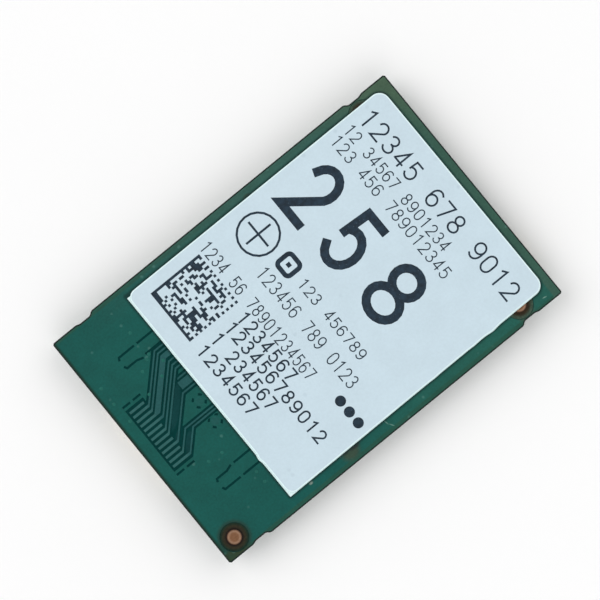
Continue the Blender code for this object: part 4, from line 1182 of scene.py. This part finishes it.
def foot_places():
    """Each soldered foot: its two corners, and the direction in which it points away from its part."""
    middle = sum(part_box("connector_housing"), Vector()) / 2
    places = []
    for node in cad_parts:
        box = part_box(node)
        for kind, axis, foot in (("contact_", 0, CONTACT_FOOT), ("connector_nail", 1, NAIL_FOOT)):
            if node.startswith(kind):
                outer = (box[0][axis] + box[1][axis]) / 2 > middle[axis]
                places.append(end_strip(box, axis, 1 if outer else -1, foot))
        if node in ("capacitor_4", "capacitor_5", "resistor_1", "resistor_2"):
            places += [end_strip(box, long_axis(*box), out, TERMINAL) for out in (-1, 1)]
    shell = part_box("receptacle_shell")
    return places + [end_strip(shell, 1, out, RECEPTACLE_TAB) for out in (-1, 1)]


def add_block(shape, low, high):
    """A plain block between two corners."""
    low, high = Vector(low), Vector(high)
    size = Matrix.Diagonal((*(high - low), 1))
    bmesh.ops.create_cube(shape, size=1.0, matrix=Matrix.Translation((low + high) / 2) @ size)


def build_foot_lands():
    lands, solder = bmesh.new(), bmesh.new()
    for low, high, out in foot_places():
        lengthwise = Vector(map(abs, out))
        sideways = lengthwise.yx
        margin = out * LAND_MARGIN
        first = low + Vector(map(min, margin, (0, 0))) - sideways * LAND_SIDE_MARGIN
        last = high + Vector(map(max, margin, (0, 0))) + sideways * LAND_SIDE_MARGIN
        add_block(lands, (*first, UNDER - LAND_THICKNESS), (*last, UNDER))
        half = (high - low) / 2
        spread = half * sideways * SOLDER_SHARE + lengthwise * LAND_MARGIN
        add_dome(solder, (*((low + high) / 2 + half * out), UNDER), spread, SOLDER_HEIGHT)
    for face in solder.faces:
        face.smooth = True
    add_piece("foot_lands", lands, [SOLDER], "tinned_sheet")
    add_piece("foot_solder", solder, [SOLDER], "tinned_sheet")


def rounded_loop(shape, low, high, inset, level):
    """The edges of a rectangle with round corners at a level, inset from two corners."""
    middle = (low + high) / 2
    length, width = high.x - low.x - 2 * inset, high.y - low.y - 2 * inset
    corners = add_rectangle(shape, (middle.x, middle.y, level), length, width)
    made = round_off(shape, corners, FENCE_CORNER - inset, FENCE_CORNER_STEPS, "VERTICES", False)
    face = made["verts"][0].link_faces[0]
    edges = list(face.edges)
    bmesh.ops.delete(shape, geom=[face], context="FACES_ONLY")
    return edges


def build_fence_land():
    """The land round the fence, with the sloping solder between it and the fence's wall."""
    shape = bmesh.new()
    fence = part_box("shield_frame")
    loops = [rounded_loop(shape, *fence, inset * MM, UNDER - drop * MM) for inset, drop in FENCE_PROFILE]
    for first, second in zip(loops, loops[1:] + loops[:1]):
        bmesh.ops.bridge_loops(shape, edges=first + second)
    bmesh.ops.recalc_face_normals(shape, faces=shape.faces)
    add_piece("fence_land", shape, [SOLDER], "tinned_sheet")


def build_test_lands():
    shape = bmesh.new()
    for x, y in TEST_LANDS:
        add_disc(shape, (x * MM, y * MM, UNDER - LAND_THICKNESS / 2), TEST_LAND_RADIUS, LAND_THICKNESS)
    add_piece("test_lands", shape, [GOLD], "gold_plate")


def build_stitching():
    """The row of filled holes along each long edge, which tie the ground copper together."""
    count = round((BOARD_HIGH.x - BOARD_LOW.x) / STITCH_PITCH) - 1
    rows = (BOARD_LOW.y + STITCH_FROM_EDGE, BOARD_HIGH.y - STITCH_FROM_EDGE)
    places = [(BOARD_LOW.x + i * STITCH_PITCH, y, UNDER) for i in range(1, count + 1) for y in rows]
    build_domes("stitching_holes", "mask over a stitching hole", places)


build_foot_lands()
build_fence_land()
build_test_lands()
build_stitching()


# Stage: a plain pale table and soft studio light from all round, with less of it from straight above.
# The camera looks down through a long lens, a degree from straight, turned so that the card lies aslant.
TABLE_SIZE = 4.0
TABLE_TINT = (1.0, 1.0, 1.0, 1.0)
SKY_AT_HORIZON = 1.0
SKY_OVERHEAD = 0.32
SKY_BAND = (0.05, 0.95)
LENS = 100.0
SENSOR = 36.0
CLIP_START = 1.0 * MM
FRAME_WIDTH = 42.0 * MM
CARD_TURN = 39.2
CAMERA_TARGET = Vector((0.42 * MM, 1.32 * MM, BOARD_HIGH.z))
CAMERA_LEAN = Vector((-0.0087, -0.0163, 1.0))
LAMP_DISTANCE = 0.40
LAMP_SPREAD = math.radians(50)
# Each lamp: its direction round the card and its height above the table in degrees, and its strength
LAMPS = ((129.2, 45.0, 1.00), (249.0, 45.0, 0.55), (9.0, 45.0, 0.55))


def build_stage():
    shape = bmesh.new()
    add_rectangle(shape, (0, 0, 0), TABLE_SIZE, TABLE_SIZE)
    material = new_material("table top", 0.8, specular=0.1)
    tree = material.node_tree
    base = use_group(tree, MOTTLE, colour=TABLE_TINT, size=30 * MM, strength=0.004)
    tree.links.new(base, shader_inputs(material)["Base Color"])
    new_object("table", shape, [material])


def build_light():
    world = bpy.data.worlds.new("studio")
    bpy.context.scene.world = world
    world.use_nodes = True
    tree = world.node_tree
    direction = add_node(tree, "SeparateXYZ", {0: add_node(tree, "TexCoord").outputs["Generated"]})
    level = ramp(tree, direction.outputs["Z"], *SKY_BAND, SKY_AT_HORIZON, SKY_OVERHEAD)
    tree.links.new(level, tree.nodes["Background"].inputs["Strength"])
    tree.nodes["Background"].inputs["Color"].default_value = (1, 1, 1, 1)
    for number, (turn, height, strength) in enumerate(LAMPS):
        lamp = bpy.data.lights.new(f"softbox_{number}", "SUN")
        lamp.angle = LAMP_SPREAD
        lamp.energy = strength
        stand = bpy.data.objects.new(lamp.name, lamp)
        turn, height = math.radians(turn), math.radians(height)
        flat = math.cos(height)
        out = Vector((flat * math.cos(turn), flat * math.sin(turn), math.sin(height)))
        stand.location = out * LAMP_DISTANCE
        stand.rotation_euler = out.to_track_quat("Z", "Y").to_euler()
        bpy.context.scene.collection.objects.link(stand)


def build_camera():
    camera = bpy.data.cameras.new("camera")
    camera.lens = LENS
    camera.sensor_width = SENSOR
    camera.clip_start = CLIP_START
    view = bpy.data.objects.new("camera", camera)
    view.location = CAMERA_TARGET + CAMERA_LEAN.normalized() * FRAME_WIDTH * LENS / SENSOR
    lean = Vector((0, 0, 1)).rotation_difference(CAMERA_LEAN).to_matrix()
    view.rotation_euler = (lean @ Matrix.Rotation(-math.radians(CARD_TURN), 3, "Z")).to_euler()
    bpy.context.scene.collection.objects.link(view)
    bpy.context.scene.camera = view


build_stage()
build_light()
build_camera()
bpy.context.scene.view_settings.view_transform = "Standard"
